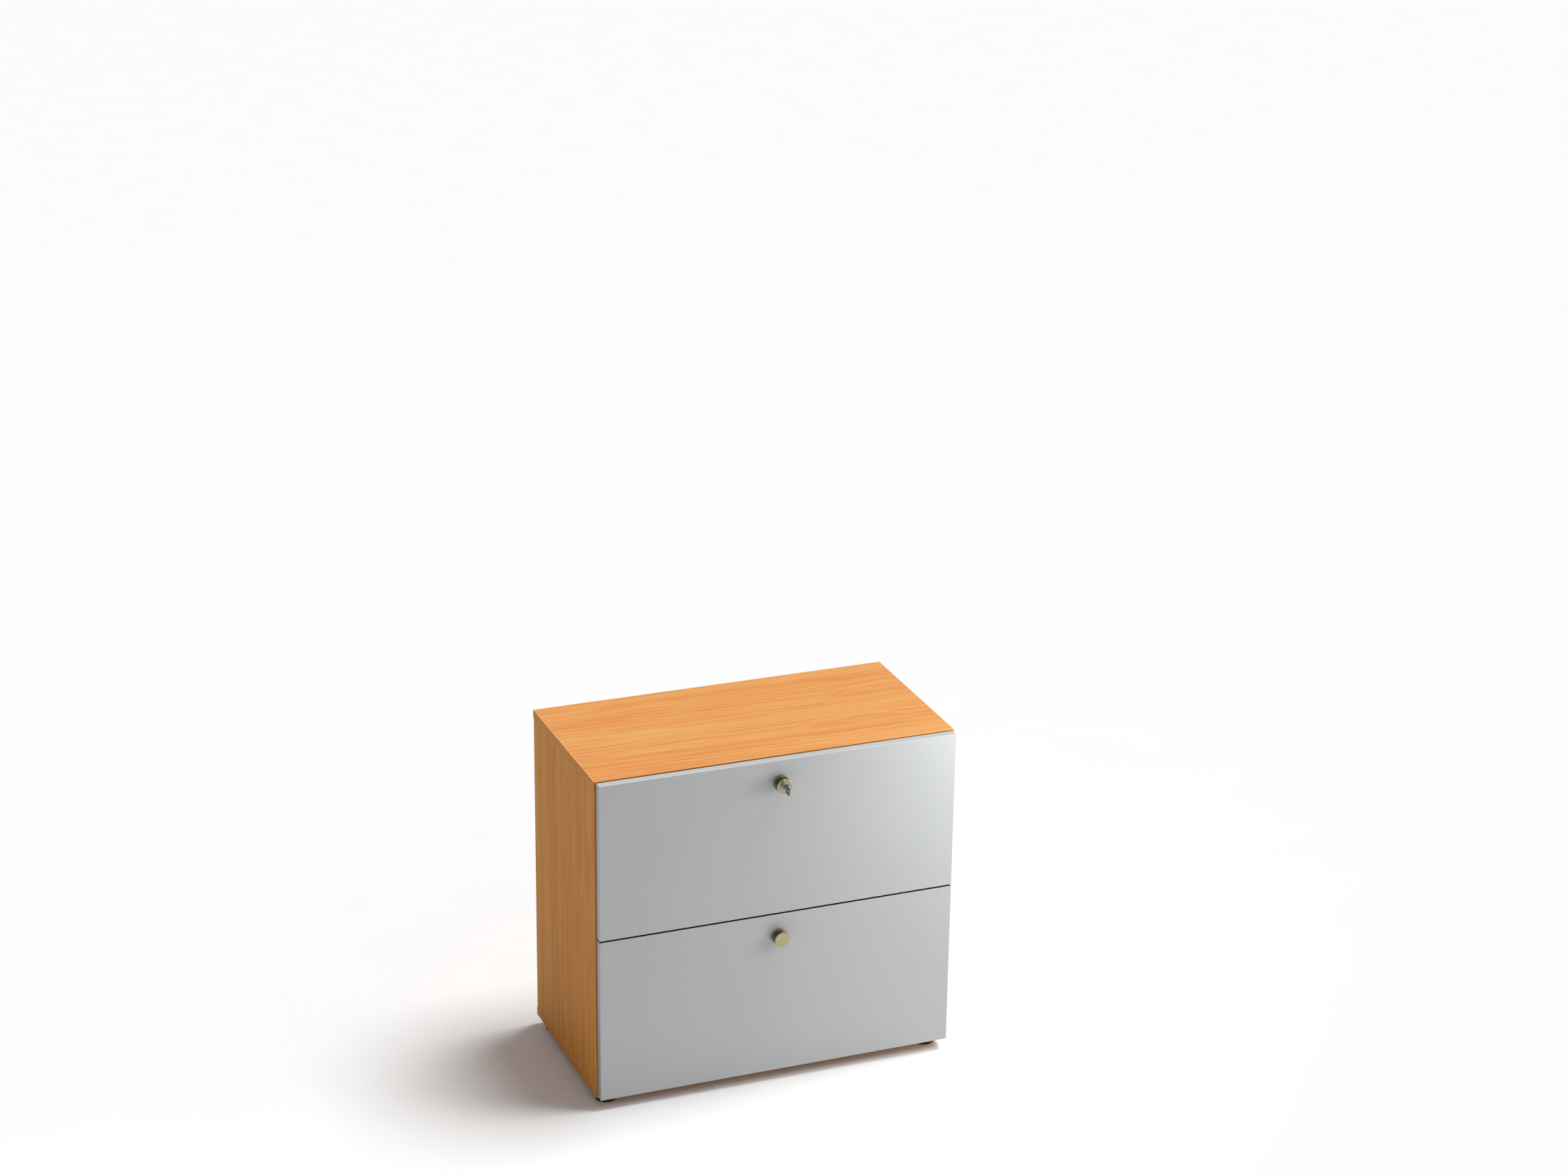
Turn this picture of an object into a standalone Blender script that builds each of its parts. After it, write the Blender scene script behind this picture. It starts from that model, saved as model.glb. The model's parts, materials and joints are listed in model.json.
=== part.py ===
"""Two-drawer hanging file cabinet: a beech board carcass, two full-extension drawers with
hanging-file frames, turned knobs and a central lock. Metres, +Z up, the front faces -Y.
The origin is on the floor, under the middle of the whole object."""
import math

import bmesh
import bpy
from mathutils import Matrix, Vector

# Clearances between pieces
GAP = 0.0003
GLUE_LINE = 0.0001

# Carcass boards
WIDTH = 0.800
CARCASS_DEPTH = 0.400
CARCASS_HEIGHT = 0.726
BOARD = 0.019
PANEL_OVERHANG = 0.0013
EDGE_BAND = 0.002
EDGE_ROUND = 0.0007
BACK_THICKNESS = 0.008
BACK_INSET = 0.012
GROOVE_DEPTH = 0.008

# Levelling feet
FOOT_HEIGHT = 0.022
FOOT_PAD_RADIUS = 0.0235
FOOT_PAD_HEIGHT = 0.012
FOOT_STUD_RADIUS = 0.004
FOOT_STUD = 0.023
FOOT_SHOULDER_RADIUS = 0.014
FOOT_RIM = 0.004
FOOT_FROM_END = 0.034
FOOT_FROM_EDGE = 0.035
FOOT_BORE_DEPTH = 0.0145

# Drawer fronts
FRONT_THICKNESS = 0.019
FRONT_GAP = 0.001
FRONT_INSET = 0.004
FRONT_ROUND = 0.0015
REVEAL = 0.003
LOWER_FRONT_HEIGHT = 0.368

# Ball-bearing slides, in section: heights are whole heights, offsets start at the side panel
SLIDE_HEIGHT = 0.045
SLIDE_DEPTH = 0.0127
CABINET_RAIL_STEEL = 0.0012
CABINET_RAIL_LIP = 0.0103
MIDDLE_RAIL_STEEL = 0.0010
MIDDLE_RAIL_OFFSET = 0.0035
MIDDLE_RAIL_LIP = 0.0105
DRAWER_RAIL_STEEL = 0.0012
DRAWER_RAIL_LIP = 0.0055
BALL_RADIUS = 0.0015
BALL_PLAY = 0.00015
BALL_OFFSET = 0.0075
BALLS_IN_ROW = 3
CAGE_SHEET = 0.0005
CAGE_SETBACK = 0.015
OUTER_CAGE_OFFSET = 0.00245
INNER_CAGE_OFFSET = 0.0050
CAGE_LIP = 0.0100
SLIDE_SETBACK = 0.026
SLIDE_REAR_CLEARANCE = 0.004

# Hanging-file frame of a drawer
HANGING_EDGE_DROP = 0.063
SLIDE_DROP = 0.027
FRAME_STEEL = 0.0012
WEB_HEIGHT = 0.034
EDGE_HEIGHT = 0.008
FILE_RAIL_STEP = 0.0111
DIVIDER_WIDTH = 0.050
CROSSBAR_DROP = 0.002
CROSSBAR_LEG = 0.015
FRAME_REAR_CLEARANCE = 0.0085
BRACKET_HEIGHT = 0.068
BRACKET_REACH = 0.045

# Knobs
KNOB_RADIUS = 0.017
KNOB_PROJECTION = 0.024
KNOB_DROP = 0.050
KNOB_BASE = 0.0085
KNOB_RING = 0.001
KNOB_FACE = 0.002
KNOB_RIM = 0.0012
GROOVE_COUNT = 3
GROOVE_FLOOR_RADIUS = 0.0158
KNOB_SCREW_RADIUS = 0.002
KNOB_SCREW_HEAD_RADIUS = 0.004
KNOB_SCREW_HEAD = 0.0025
KNOB_SCREW_GRIP = 0.010

# Lock
CYLINDER_RADIUS = 0.0096
CYLINDER_PROUD = 0.0008
PLUG_RADIUS = 0.0062
PLUG_PROUD = 0.0005
TAIL_WIDTH = 0.006
CAM_PLATE_RADIUS = 0.009
CAM_PLATE = 0.0025
CAM_PIN_RADIUS = 0.0015
ROD_TRAVEL = 0.008
ROD_HEIGHT = 0.008
ROD_THICKNESS = 0.003
ROD_OFF_AXIS = 0.002
ROD_FROM_FRONT = 0.0046
ROD_FORK_PLAY = 0.0005
ROD_FORK_END = 0.002
ROD_TIP_CLEARANCE = 0.012
ROD_TIP_CHAMFER = 0.0015
GUIDE_WIDTH = 0.010
GUIDE_WALL = 0.0018
GUIDE_FROM_TIP = 0.050
CASE_WALL = 0.0012
CASE_WIDTH = 0.044
CASE_HEIGHT = 0.027
CASE_DEPTH = 0.011

# Key
KEY_THICKNESS = 0.0020
KEY_SHANK_HEIGHT = 0.007
KEY_IN_PLUG = 0.021
KEY_NECK = 0.006
KEY_BOW = 0.022
KEY_BOW_ROUND = 0.006
KEY_HOLE_RADIUS = 0.0025
KEY_NOTCH = 0.0012
KEY_NOTCHES = 3

# Central lock bar on the left side panel, and what it meets
BAR_THICKNESS = 0.002
BAR_WIDTH = 0.010
BAR_SETBACK = 0.0034
BAR_HEAD_REACH = 0.0055
BAR_HEAD_HEIGHT = 0.012
BAR_HOOK_REACH = 0.0094
BAR_HOOK_HEIGHT = 0.008
BAR_GUIDE_WALL = 0.0016
BAR_GUIDE_HEIGHT = 0.018
BAR_GUIDE_TAB = 0.011
CATCH_CLEARANCE = 0.002
CATCH_LENGTH = 0.010
CATCH_UPRIGHT = 0.022
CATCH_FROM_SIDE = 0.0037
HOOK_CLEARANCE = 0.0007
CATCH_PLATE = 0.0015
CATCH_SETBACK = 0.0016
STRIKE_THICKNESS = 0.002
STRIKE_REACH = 0.008
STRIKE_SETBACK = 0.0006
STRIKE_DEPTH = 0.0214
STRIKE_OVERLAP = 0.002
STRIKE_TAB = 0.018

# Round shapes
KNOB_STEPS = 32
FOOT_STEPS = 24
PIN_STEPS = 12
BALL_SEGMENTS = 8
BALL_RINGS = 4
ARC_STEPS = 5
SMOOTH_ANGLE = 30

# Distances within which points become one
SEAM = 0.00001
WELD = 0.000001

# The two sides, as the sign of X
SIDES = {"left": -1, "right": 1}

# Places that follow from the sizes above
KEY_REACH = KEY_NECK + KEY_BOW
TOTAL_DEPTH = CARCASS_DEPTH + FRONT_GAP + FRONT_THICKNESS + KNOB_PROJECTION + KEY_REACH
REAR = TOTAL_DEPTH / 2
CARCASS_FRONT = REAR - CARCASS_DEPTH
FRONT_BACK = CARCASS_FRONT - FRONT_GAP
FRONT_FACE = FRONT_BACK - FRONT_THICKNESS
KNOB_END = FRONT_FACE - KNOB_PROJECTION
HALF_WIDTH = WIDTH / 2
SIDE_OUTER = HALF_WIDTH - PANEL_OVERHANG
SIDE_INNER = SIDE_OUTER - BOARD
CARCASS_TOP = FOOT_HEIGHT + CARCASS_HEIGHT
FLOOR_TOP = FOOT_HEIGHT + BOARD
TOP_UNDERSIDE = CARCASS_TOP - BOARD
SIDE_BOTTOM = FLOOR_TOP + GAP
SIDE_TOP = TOP_UNDERSIDE - GAP
BACK_REAR = REAR - BACK_INSET
BACK_FRONT = BACK_REAR - BACK_THICKNESS
SLIDE_START = CARCASS_FRONT + SLIDE_SETBACK
SLIDE_END = BACK_FRONT - SLIDE_REAR_CLEARANCE
SLIDE_LENGTH = SLIDE_END - SLIDE_START
BALL_TRACK = 2 * (BALL_RADIUS + BALL_PLAY)
CAGE_LENGTH = SLIDE_LENGTH / 2 - CAGE_SETBACK
CAGE_MIDDLE = SLIDE_START + SLIDE_LENGTH / 2
MIDDLE_RAIL_HALF = SLIDE_HEIGHT / 2 - CABINET_RAIL_STEEL - BALL_TRACK
DRAWER_RAIL_HALF = MIDDLE_RAIL_HALF - MIDDLE_RAIL_STEEL - BALL_TRACK
OUTER_BALL_HEIGHT = MIDDLE_RAIL_HALF + BALL_TRACK / 2
INNER_BALL_HEIGHT = DRAWER_RAIL_HALF + BALL_TRACK / 2
LOWER_FRONT = (FOOT_HEIGHT + REVEAL, FOOT_HEIGHT + REVEAL + LOWER_FRONT_HEIGHT)
UPPER_FRONT = (LOWER_FRONT[1] + REVEAL, CARCASS_TOP - REVEAL)
FRAME_SIDE = SIDE_INNER - SLIDE_DEPTH - GAP
FRAME_FRONT = FRONT_BACK + GAP
FRAME_REAR = BACK_FRONT - FRAME_REAR_CLEARANCE
LOCK_HEIGHT = UPPER_FRONT[1] - KNOB_DROP
CAM_PIN_OFFSET = ROD_TRAVEL / 2
ROD_FRONT = FRONT_BACK + ROD_FROM_FRONT
ROD_BACK = ROD_FRONT + ROD_THICKNESS
ROD_TIP = SIDE_INNER - ROD_TIP_CLEARANCE
BAR_FRONT = CARCASS_FRONT + BAR_SETBACK
BAR_BACK = BAR_FRONT + BAR_WIDTH
BAR_OUTER = SIDE_INNER - GAP
BAR_INNER = BAR_OUTER - BAR_THICKNESS

# Materials: colour, roughness, metallic
FINISHES = {
    "beech": ((0.62, 0.33, 0.13), 0.45, 0.0),
    "beech_edging": ((0.72, 0.42, 0.18), 0.45, 0.0),
    "silver_lacquer": ((0.47, 0.47, 0.46), 0.35, 0.3),
    "brass": ((0.55, 0.45, 0.25), 0.30, 1.0),
    "nickel": ((0.50, 0.50, 0.52), 0.30, 1.0),
    "key_steel": ((0.28, 0.28, 0.30), 0.35, 1.0),
    "zinc": ((0.62, 0.63, 0.64), 0.40, 1.0),
    "frame_grey": ((0.40, 0.41, 0.42), 0.50, 0.0),
    "black_plastic": ((0.02, 0.02, 0.02), 0.50, 0.0),
}


def clear_scene():
    """Remove whatever the scene holds."""
    for thing in list(bpy.data.objects):
        bpy.data.objects.remove(thing, do_unlink=True)


def collection(name):
    """A new collection in the scene."""
    made = bpy.data.collections.new(name)
    bpy.context.scene.collection.children.link(made)
    return made


def finish(name, look):
    """A piece's own Principled material."""
    colour, roughness, metallic = FINISHES[look]
    made = bpy.data.materials.new(f"{name}_{look}")
    made.use_nodes = True
    made.diffuse_color = (*colour, 1)
    shader = made.node_tree.nodes["Principled BSDF"]
    shader.inputs["Base Color"].default_value = (*colour, 1)
    shader.inputs["Roughness"].default_value = roughness
    shader.inputs["Metallic"].default_value = metallic
    return made


# Shapes: each is a closed bmesh in world coordinates

PLANES = {
    "X": Matrix(((0, 0, 1), (1, 0, 0), (0, 1, 0))).to_4x4(),
    "Y": Matrix(((1, 0, 0), (0, 0, -1), (0, 1, 0))).to_4x4(),
    "Z": Matrix.Identity(4),
}
NORMALS = {"X": Vector((1, 0, 0)), "Y": Vector((0, 1, 0)), "Z": Vector((0, 0, 1))}


def box(corner, opposite):
    """A box between two opposite corners."""
    corner, opposite = Vector(corner), Vector(opposite)
    size = [abs(b - a) for a, b in zip(corner, opposite)]
    shape = bmesh.new()
    place = Matrix.Translation((corner + opposite) / 2) @ Matrix.Diagonal((*size, 1))
    bmesh.ops.create_cube(shape, size=1, matrix=place)
    return shape


def bar(start, end, radius, steps):
    """A cylinder from one point to another."""
    start, end = Vector(start), Vector(end)
    turn = (end - start).to_track_quat("Z", "Y").to_matrix().to_4x4()
    shape = bmesh.new()
    bmesh.ops.create_cone(shape, cap_ends=True, segments=steps, radius1=radius, radius2=radius,
                          depth=(end - start).length,
                          matrix=Matrix.Translation((start + end) / 2) @ turn)
    return shape


def ball(centre):
    """A bearing ball."""
    shape = bmesh.new()
    bmesh.ops.create_uvsphere(shape, u_segments=BALL_SEGMENTS, v_segments=BALL_RINGS,
                              radius=BALL_RADIUS, matrix=Matrix.Translation(centre))
    return shape


def baked(thing):
    """The shape that an object's modifiers make; the object itself is removed."""
    bpy.context.scene.collection.objects.link(thing)
    graph = bpy.context.evaluated_depsgraph_get()
    mesh = bpy.data.meshes.new_from_object(thing.evaluated_get(graph))
    shape = bmesh.new()
    shape.from_mesh(mesh)
    bpy.data.objects.remove(thing)
    bpy.data.meshes.remove(mesh)
    return shape


def turned(profiles, steps, base, direction):
    """A turned shape on an axis from base along direction: each profile is (radius, height)
    points, down its outer side. A profile that leaves the axis and returns to it is solid,
    and any other closes on itself as a ring."""
    lathe = bpy.data.meshes.new("profile")
    points = []
    edges = []
    for profile in profiles:
        first = len(points)
        points += [(radius, 0, height) for radius, height in profile]
        edges += [(i, i + 1) for i in range(first, len(points) - 1)]
        if profile[0][0] > 0:
            edges.append((len(points) - 1, first))
    lathe.from_pydata(points, edges, [])
    thing = bpy.data.objects.new("profile", lathe)
    screw = thing.modifiers.new("Screw", "SCREW")
    screw.steps = steps
    screw.render_steps = steps
    screw.use_merge_vertices = True
    screw.merge_threshold = SEAM
    shape = baked(thing)
    bpy.data.meshes.remove(lathe)
    bmesh.ops.remove_doubles(shape, verts=shape.verts, dist=WELD)
    turn = Vector(direction).to_track_quat("Z", "Y").to_matrix().to_4x4()
    shape.transform(Matrix.Translation(base) @ turn)
    return shape


def plate(outlines, ends, plane):
    """A flat plate across one axis, between two ends on it. Its outlines are lists
    of points on the other two axes; the first is its edge and the others are holes."""
    flat = bpy.data.curves.new("outline", "CURVE")
    flat.dimensions = "2D"
    flat.fill_mode = "BOTH"
    flat.extrude = abs(ends[1] - ends[0]) / 2
    for outline in outlines:
        spline = flat.splines.new("POLY")
        spline.points.add(len(outline) - 1)
        for point, place in zip(spline.points, outline):
            point.co = (*place, 0, 1)
        spline.use_cyclic_u = True
    shape = baked(bpy.data.objects.new("outline", flat))
    bpy.data.curves.remove(flat)
    bmesh.ops.remove_doubles(shape, verts=shape.verts, dist=WELD)
    bmesh.ops.recalc_face_normals(shape, faces=shape.faces)
    shape.transform(Matrix.Translation(NORMALS[plane] * (ends[0] + ends[1]) / 2) @ PLANES[plane])
    return shape


def folded_sheet(path, ends, thickness, plane):
    """Sheet metal with one folded section all along one axis, between two ends.
    The path is the middle of its thickness, as points on the other two axes."""
    shape = bmesh.new()
    corners = [shape.verts.new((*place, 0)) for place in path]
    edges = [shape.edges.new(pair) for pair in zip(corners, corners[1:])]
    swept = bmesh.ops.extrude_edge_only(shape, edges=edges)["geom"]
    moved = [item for item in swept if isinstance(item, bmesh.types.BMVert)]
    length = abs(ends[1] - ends[0])
    bmesh.ops.translate(shape, verts=moved, vec=(0, 0, length))
    bmesh.ops.translate(shape, verts=shape.verts, vec=(0, 0, -length / 2))
    sheet = bpy.data.meshes.new("sheet")
    shape.to_mesh(sheet)
    thing = bpy.data.objects.new("sheet", sheet)
    solidify = thing.modifiers.new("Solidify", "SOLIDIFY")
    solidify.thickness = thickness
    solidify.offset = 0
    solidify.use_even_offset = True
    shape = baked(thing)
    bpy.data.meshes.remove(sheet)
    bmesh.ops.recalc_face_normals(shape, faces=shape.faces)
    shape.transform(Matrix.Translation(NORMALS[plane] * (ends[0] + ends[1]) / 2) @ PLANES[plane])
    return shape


def arc(centre, radius, start, end):
    """Points on an arc between two angles in degrees."""
    angles = [math.radians(start + (end - start) * i / ARC_STEPS) for i in range(ARC_STEPS + 1)]
    return [(centre[0] + radius * math.cos(a), centre[1] + radius * math.sin(a)) for a in angles]


# Objects


def world_place(thing):
    """Where an object's origin is, through its parents, none of which is turned."""
    place = thing.location.copy()
    while thing.parent:
        thing = thing.parent
        place += thing.location
    return place


def joint(name, place, parent=None):
    """An empty on a joint's axis, which carries the pieces that move with it."""
    empty = bpy.data.objects.new(name, None)
    empty.empty_display_size = 0.02
    PARTS.objects.link(empty)
    empty.location = place
    if parent:
        empty.parent = parent
        empty.location -= world_place(parent)
    return empty


def merged(shapes, origin):
    """One mesh with several shapes, about an origin."""
    whole = bmesh.new()
    for shape in shapes:
        single = bpy.data.meshes.new("shape")
        shape.to_mesh(single)
        shape.free()
        whole.from_mesh(single)
        bpy.data.meshes.remove(single)
    whole.transform(Matrix.Translation(-origin))
    mesh = bpy.data.meshes.new("mesh")
    whole.to_mesh(mesh)
    whole.free()
    return mesh


def piece(name, shapes, look, carrier=None):
    """A named piece of one or more shapes, with its origin on the joint that carries it."""
    origin = world_place(carrier) if carrier else Vector()
    mesh = merged(shapes, origin)
    mesh.name = name
    mesh.materials.append(finish(name, look))
    mesh.shade_smooth()
    mesh.set_sharp_from_angle(angle=math.radians(SMOOTH_ANGLE))
    thing = bpy.data.objects.new(name, mesh)
    PARTS.objects.link(thing)
    thing.parent = carrier
    return thing


def hidden(name, shapes):
    """A cutter or a tool shape, which isn't part of the object."""
    tool = bpy.data.objects.new(name, merged(shapes, Vector()))
    CUTTERS.objects.link(tool)
    tool.hide_render = True
    tool.display_type = "WIRE"
    return tool


def combine(thing, shapes, operation):
    """Cut shapes out of a piece, or join shapes to it, with one Boolean modifier."""
    modifier = thing.modifiers.new(operation.title(), "BOOLEAN")
    modifier.operation = operation
    modifier.object = hidden(f"{thing.name}_{operation.lower()}", shapes)


def cut(thing, shapes):
    """Take shapes away from a piece."""
    combine(thing, shapes, "DIFFERENCE")


def join(thing, shapes):
    """Add shapes to a piece."""
    combine(thing, shapes, "UNION")


def soften(thing, width):
    """Round the sharp edges."""
    bevel = thing.modifiers.new("Bevel", "BEVEL")
    bevel.width = width
    bevel.segments = 2
    bevel.limit_method = "ANGLE"


# Carcass


def back_grooves():
    """The space the back panel takes in the boards around it."""
    half = SIDE_INNER + GROOVE_DEPTH
    return box((-half, BACK_FRONT - GAP, FLOOR_TOP - GROOVE_DEPTH),
               (half, BACK_REAR + GAP, TOP_UNDERSIDE + GROOVE_DEPTH))


def horizontal_panel(name, low, high):
    """The core of the top or the bottom panel, inside its edge band."""
    half = HALF_WIDTH - EDGE_BAND - GLUE_LINE
    front = CARCASS_FRONT + EDGE_BAND + GLUE_LINE
    rear = REAR - EDGE_BAND - GLUE_LINE
    panel = piece(f"{name}_panel", [box((-half, front, low), (half, rear, high))], "beech")
    cut(panel, [back_grooves()])
    half, front, rear = half + GLUE_LINE, front - GLUE_LINE, rear + GLUE_LINE
    band = piece(f"{name}_edging", [box((-HALF_WIDTH, CARCASS_FRONT, low),
                                        (HALF_WIDTH, REAR, high))], "beech_edging")
    soften(band, EDGE_ROUND)
    cut(band, [box((-half, front, low - BOARD), (half, rear, high + BOARD))])
    return panel


def carcass():
    """The boards and their edge bands."""
    horizontal_panel("top", TOP_UNDERSIDE, CARCASS_TOP)
    bottom = horizontal_panel("bottom", FOOT_HEIGHT, FLOOR_TOP)
    cut(bottom, [foot_bore(x, y) for x, y in foot_places().values()])
    for name, side in SIDES.items():
        panel = piece(f"{name}_side_panel", [box((side * SIDE_INNER, CARCASS_FRONT, SIDE_BOTTOM),
                                                 (side * SIDE_OUTER, REAR, SIDE_TOP))], "beech")
        cut(panel, [back_grooves()])
    half = SIDE_INNER + GROOVE_DEPTH - GAP
    piece("back_panel", [box((-half, BACK_FRONT, FLOOR_TOP - GROOVE_DEPTH + GAP),
                             (half, BACK_REAR, TOP_UNDERSIDE + GROOVE_DEPTH - GAP))], "beech")


# Levelling feet


def foot_places():
    """The middle of each foot."""
    across = HALF_WIDTH - FOOT_FROM_END
    front, rear = CARCASS_FRONT + FOOT_FROM_EDGE, REAR - FOOT_FROM_EDGE
    return {"front_left_foot": (-across, front), "front_right_foot": (across, front),
            "rear_left_foot": (-across, rear), "rear_right_foot": (across, rear)}


def foot_bore(x, y):
    """The threaded bore for a foot's stud, seen as its clearance."""
    return bar((x, y, FOOT_HEIGHT - FOOT_STUD_RADIUS), (x, y, FOOT_HEIGHT + FOOT_BORE_DEPTH),
               FOOT_STUD_RADIUS + GAP, FOOT_STEPS)


def foot(x, y):
    """A moulded pad on its threaded stud."""
    top = FOOT_PAD_HEIGHT + FOOT_STUD
    profile = [(0, top), (FOOT_STUD_RADIUS, top), (FOOT_STUD_RADIUS, FOOT_PAD_HEIGHT),
               (FOOT_SHOULDER_RADIUS, FOOT_PAD_HEIGHT), (FOOT_PAD_RADIUS, FOOT_RIM),
               (FOOT_PAD_RADIUS, EDGE_ROUND), (FOOT_PAD_RADIUS - EDGE_ROUND, 0), (0, 0)]
    return turned([profile], FOOT_STEPS, (x, y, 0), (0, 0, 1))


def feet():
    """Four levelling feet, screwed into the bottom panel."""
    for name, (x, y) in foot_places().items():
        carrier = joint(f"{name}_joint", (x, y, FOOT_HEIGHT))
        piece(name, [foot(x, y)], "black_plastic", carrier)


# Drawer slides


def hanging_edge(front):
    """The height of the edge that files hang on, under the top of a drawer front."""
    return front[1] - HANGING_EDGE_DROP


def slide_height(front):
    """The height of the middle of a drawer's slides."""
    return hanging_edge(front) - SLIDE_DROP


def channel(side, web, lip, half, steel, height):
    """A C-section slide member: its web and the ends of its lips are offsets from the panel."""
    web_x, lip_x = side * (SIDE_INNER - web), side * (SIDE_INNER - lip)
    reach = half - steel / 2
    path = [(lip_x, height + reach), (web_x, height + reach),
            (web_x, height - reach), (lip_x, height - reach)]
    return folded_sheet(path, (SLIDE_START, SLIDE_END), steel, "Y")


def ball_cage(name, side, web, height, row_height, carrier):
    """A cage strip between two slide members, with its two rows of balls."""
    half_length = CAGE_LENGTH / 2
    web_x, lip_x = side * (SIDE_INNER - web), side * (SIDE_INNER - CAGE_LIP)
    path = [(lip_x, height + row_height), (web_x, height + row_height),
            (web_x, height - row_height), (lip_x, height - row_height)]
    strip = folded_sheet(path, (CAGE_MIDDLE - half_length, CAGE_MIDDLE + half_length),
                         CAGE_SHEET, "Y")
    cage = piece(name, [strip], "zinc", carrier)
    step = CAGE_LENGTH / BALLS_IN_ROW
    start = CAGE_MIDDLE - step * (BALLS_IN_ROW - 1) / 2
    join(cage, [ball((side * (SIDE_INNER - BALL_OFFSET), start + step * i, height + row))
                for row in (-row_height, row_height) for i in range(BALLS_IN_ROW)])


def cabinet_rails(name, front):
    """The outer slide members of one drawer, on the side panels."""
    for side_name, side in SIDES.items():
        rail = channel(side, GAP + CABINET_RAIL_STEEL / 2, CABINET_RAIL_LIP, SLIDE_HEIGHT / 2,
                       CABINET_RAIL_STEEL, slide_height(front))
        piece(f"{name}_{side_name}_cabinet_rail", [rail], "zinc")


def running_gear(name, front):
    """The middle members and the ball cages of one drawer's two slides."""
    height = slide_height(front)
    place = (0, CARCASS_FRONT, height)
    middle = joint(f"{name}_middle_joint", place)
    outer_cages = joint(f"{name}_outer_cages_joint", place)
    inner_cages = joint(f"{name}_inner_cages_joint", place)
    for side_name, side in SIDES.items():
        rail = channel(side, MIDDLE_RAIL_OFFSET + MIDDLE_RAIL_STEEL / 2, MIDDLE_RAIL_LIP,
                       MIDDLE_RAIL_HALF, MIDDLE_RAIL_STEEL, height)
        piece(f"{name}_{side_name}_middle_rail", [rail], "zinc", middle)
        ball_cage(f"{name}_{side_name}_outer_ball_cage", side, OUTER_CAGE_OFFSET, height,
                  OUTER_BALL_HEIGHT, outer_cages)
        ball_cage(f"{name}_{side_name}_inner_ball_cage", side, INNER_CAGE_OFFSET, height,
                  INNER_BALL_HEIGHT, inner_cages)


# Drawers


def web_bottom(front):
    """The height of the hanging rails' lower edge."""
    return hanging_edge(front) - EDGE_HEIGHT - WEB_HEIGHT


def crossbar(name, front, carrier, y, way):
    """An angle across the drawer: a leg up and a leg under the hanging rails."""
    top = hanging_edge(front) - CROSSBAR_DROP
    corner = web_bottom(front) - GAP - FRAME_STEEL / 2
    upright = y + way * FRAME_STEEL / 2
    path = [(upright, top), (upright, corner), (y + way * CROSSBAR_LEG, corner)]
    return piece(name, [folded_sheet(path, (-FRAME_SIDE, FRAME_SIDE), FRAME_STEEL, "X")],
                 "frame_grey", carrier)


def bracket(side, front):
    """A gusset welded under the end of the front crossbar, which keeps the front upright."""
    top = web_bottom(front) - GAP - FRAME_STEEL / 2
    low = top - BRACKET_HEIGHT
    heel, reach = FRAME_FRONT + BRACKET_REACH / 4, FRAME_FRONT + BRACKET_REACH
    outline = [(FRAME_FRONT, top), (FRAME_FRONT, low), (heel, low), (reach, top)]
    outer = side * (FRAME_SIDE - FILE_RAIL_STEP)
    return plate([outline], (outer, outer - side * FRAME_STEEL), "X")


def hanging_frame(name, front, carrier):
    """The steel frame that files hang in, from the drawer front to the back."""
    edge, bottom = hanging_edge(front), web_bottom(front)
    step = edge - EDGE_HEIGHT
    ends = (FRAME_FRONT + FRAME_STEEL + GAP, FRAME_REAR - FRAME_STEEL - GAP)
    web = FRAME_SIDE - FRAME_STEEL / 2
    lip = web - FILE_RAIL_STEP
    for side_name, side in SIDES.items():
        path = [(side * web, bottom), (side * web, step), (side * lip, step), (side * lip, edge)]
        piece(f"{name}_{side_name}_hanging_rail", [folded_sheet(path, ends, FRAME_STEEL, "Y")],
              "frame_grey", carrier)

    half, floor = DIVIDER_WIDTH / 2, bottom + FRAME_STEEL / 2
    path = [(-half, edge), (-half, floor), (half, floor), (half, edge)]
    piece(f"{name}_centre_divider", [folded_sheet(path, ends, FRAME_STEEL, "Y")],
          "frame_grey", carrier)

    ahead = crossbar(f"{name}_front_crossbar", front, carrier, FRAME_FRONT, 1)
    join(ahead, [bracket(side, front) for side in SIDES.values()])
    crossbar(f"{name}_rear_crossbar", front, carrier, FRAME_REAR, -1)


def drawer(name, front, knob_bore, carrier):
    """A drawer front with its frame and its slide members."""
    board = piece(f"{name}_drawer_front", [box((-HALF_WIDTH + FRONT_INSET, FRONT_FACE, front[0]),
                                               (HALF_WIDTH - FRONT_INSET, FRONT_BACK, front[1]))],
                  "silver_lacquer", carrier)
    soften(board, FRONT_ROUND)
    height = front[1] - KNOB_DROP
    cut(board, [bar((0, FRONT_FACE - knob_bore, height), (0, FRONT_BACK + knob_bore, height),
                    knob_bore, FOOT_STEPS)])
    for side_name, side in SIDES.items():
        rail = channel(side, SLIDE_DEPTH - DRAWER_RAIL_STEEL / 2, DRAWER_RAIL_LIP,
                       DRAWER_RAIL_HALF, DRAWER_RAIL_STEEL, slide_height(front))
        piece(f"{name}_{side_name}_drawer_rail", [rail], "zinc", carrier)
    hanging_frame(name, front, carrier)


# Knobs


def knob_levels():
    """The heights of the knob's grooves above the drawer front, each low and high."""
    lands = KNOB_BASE + KNOB_FACE + KNOB_RING * (GROOVE_COUNT - 1)
    groove = (KNOB_PROJECTION - lands) / GROOVE_COUNT
    step = groove + KNOB_RING
    return [(KNOB_BASE + step * i, KNOB_BASE + step * i + groove) for i in range(GROOVE_COUNT)]


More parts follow.
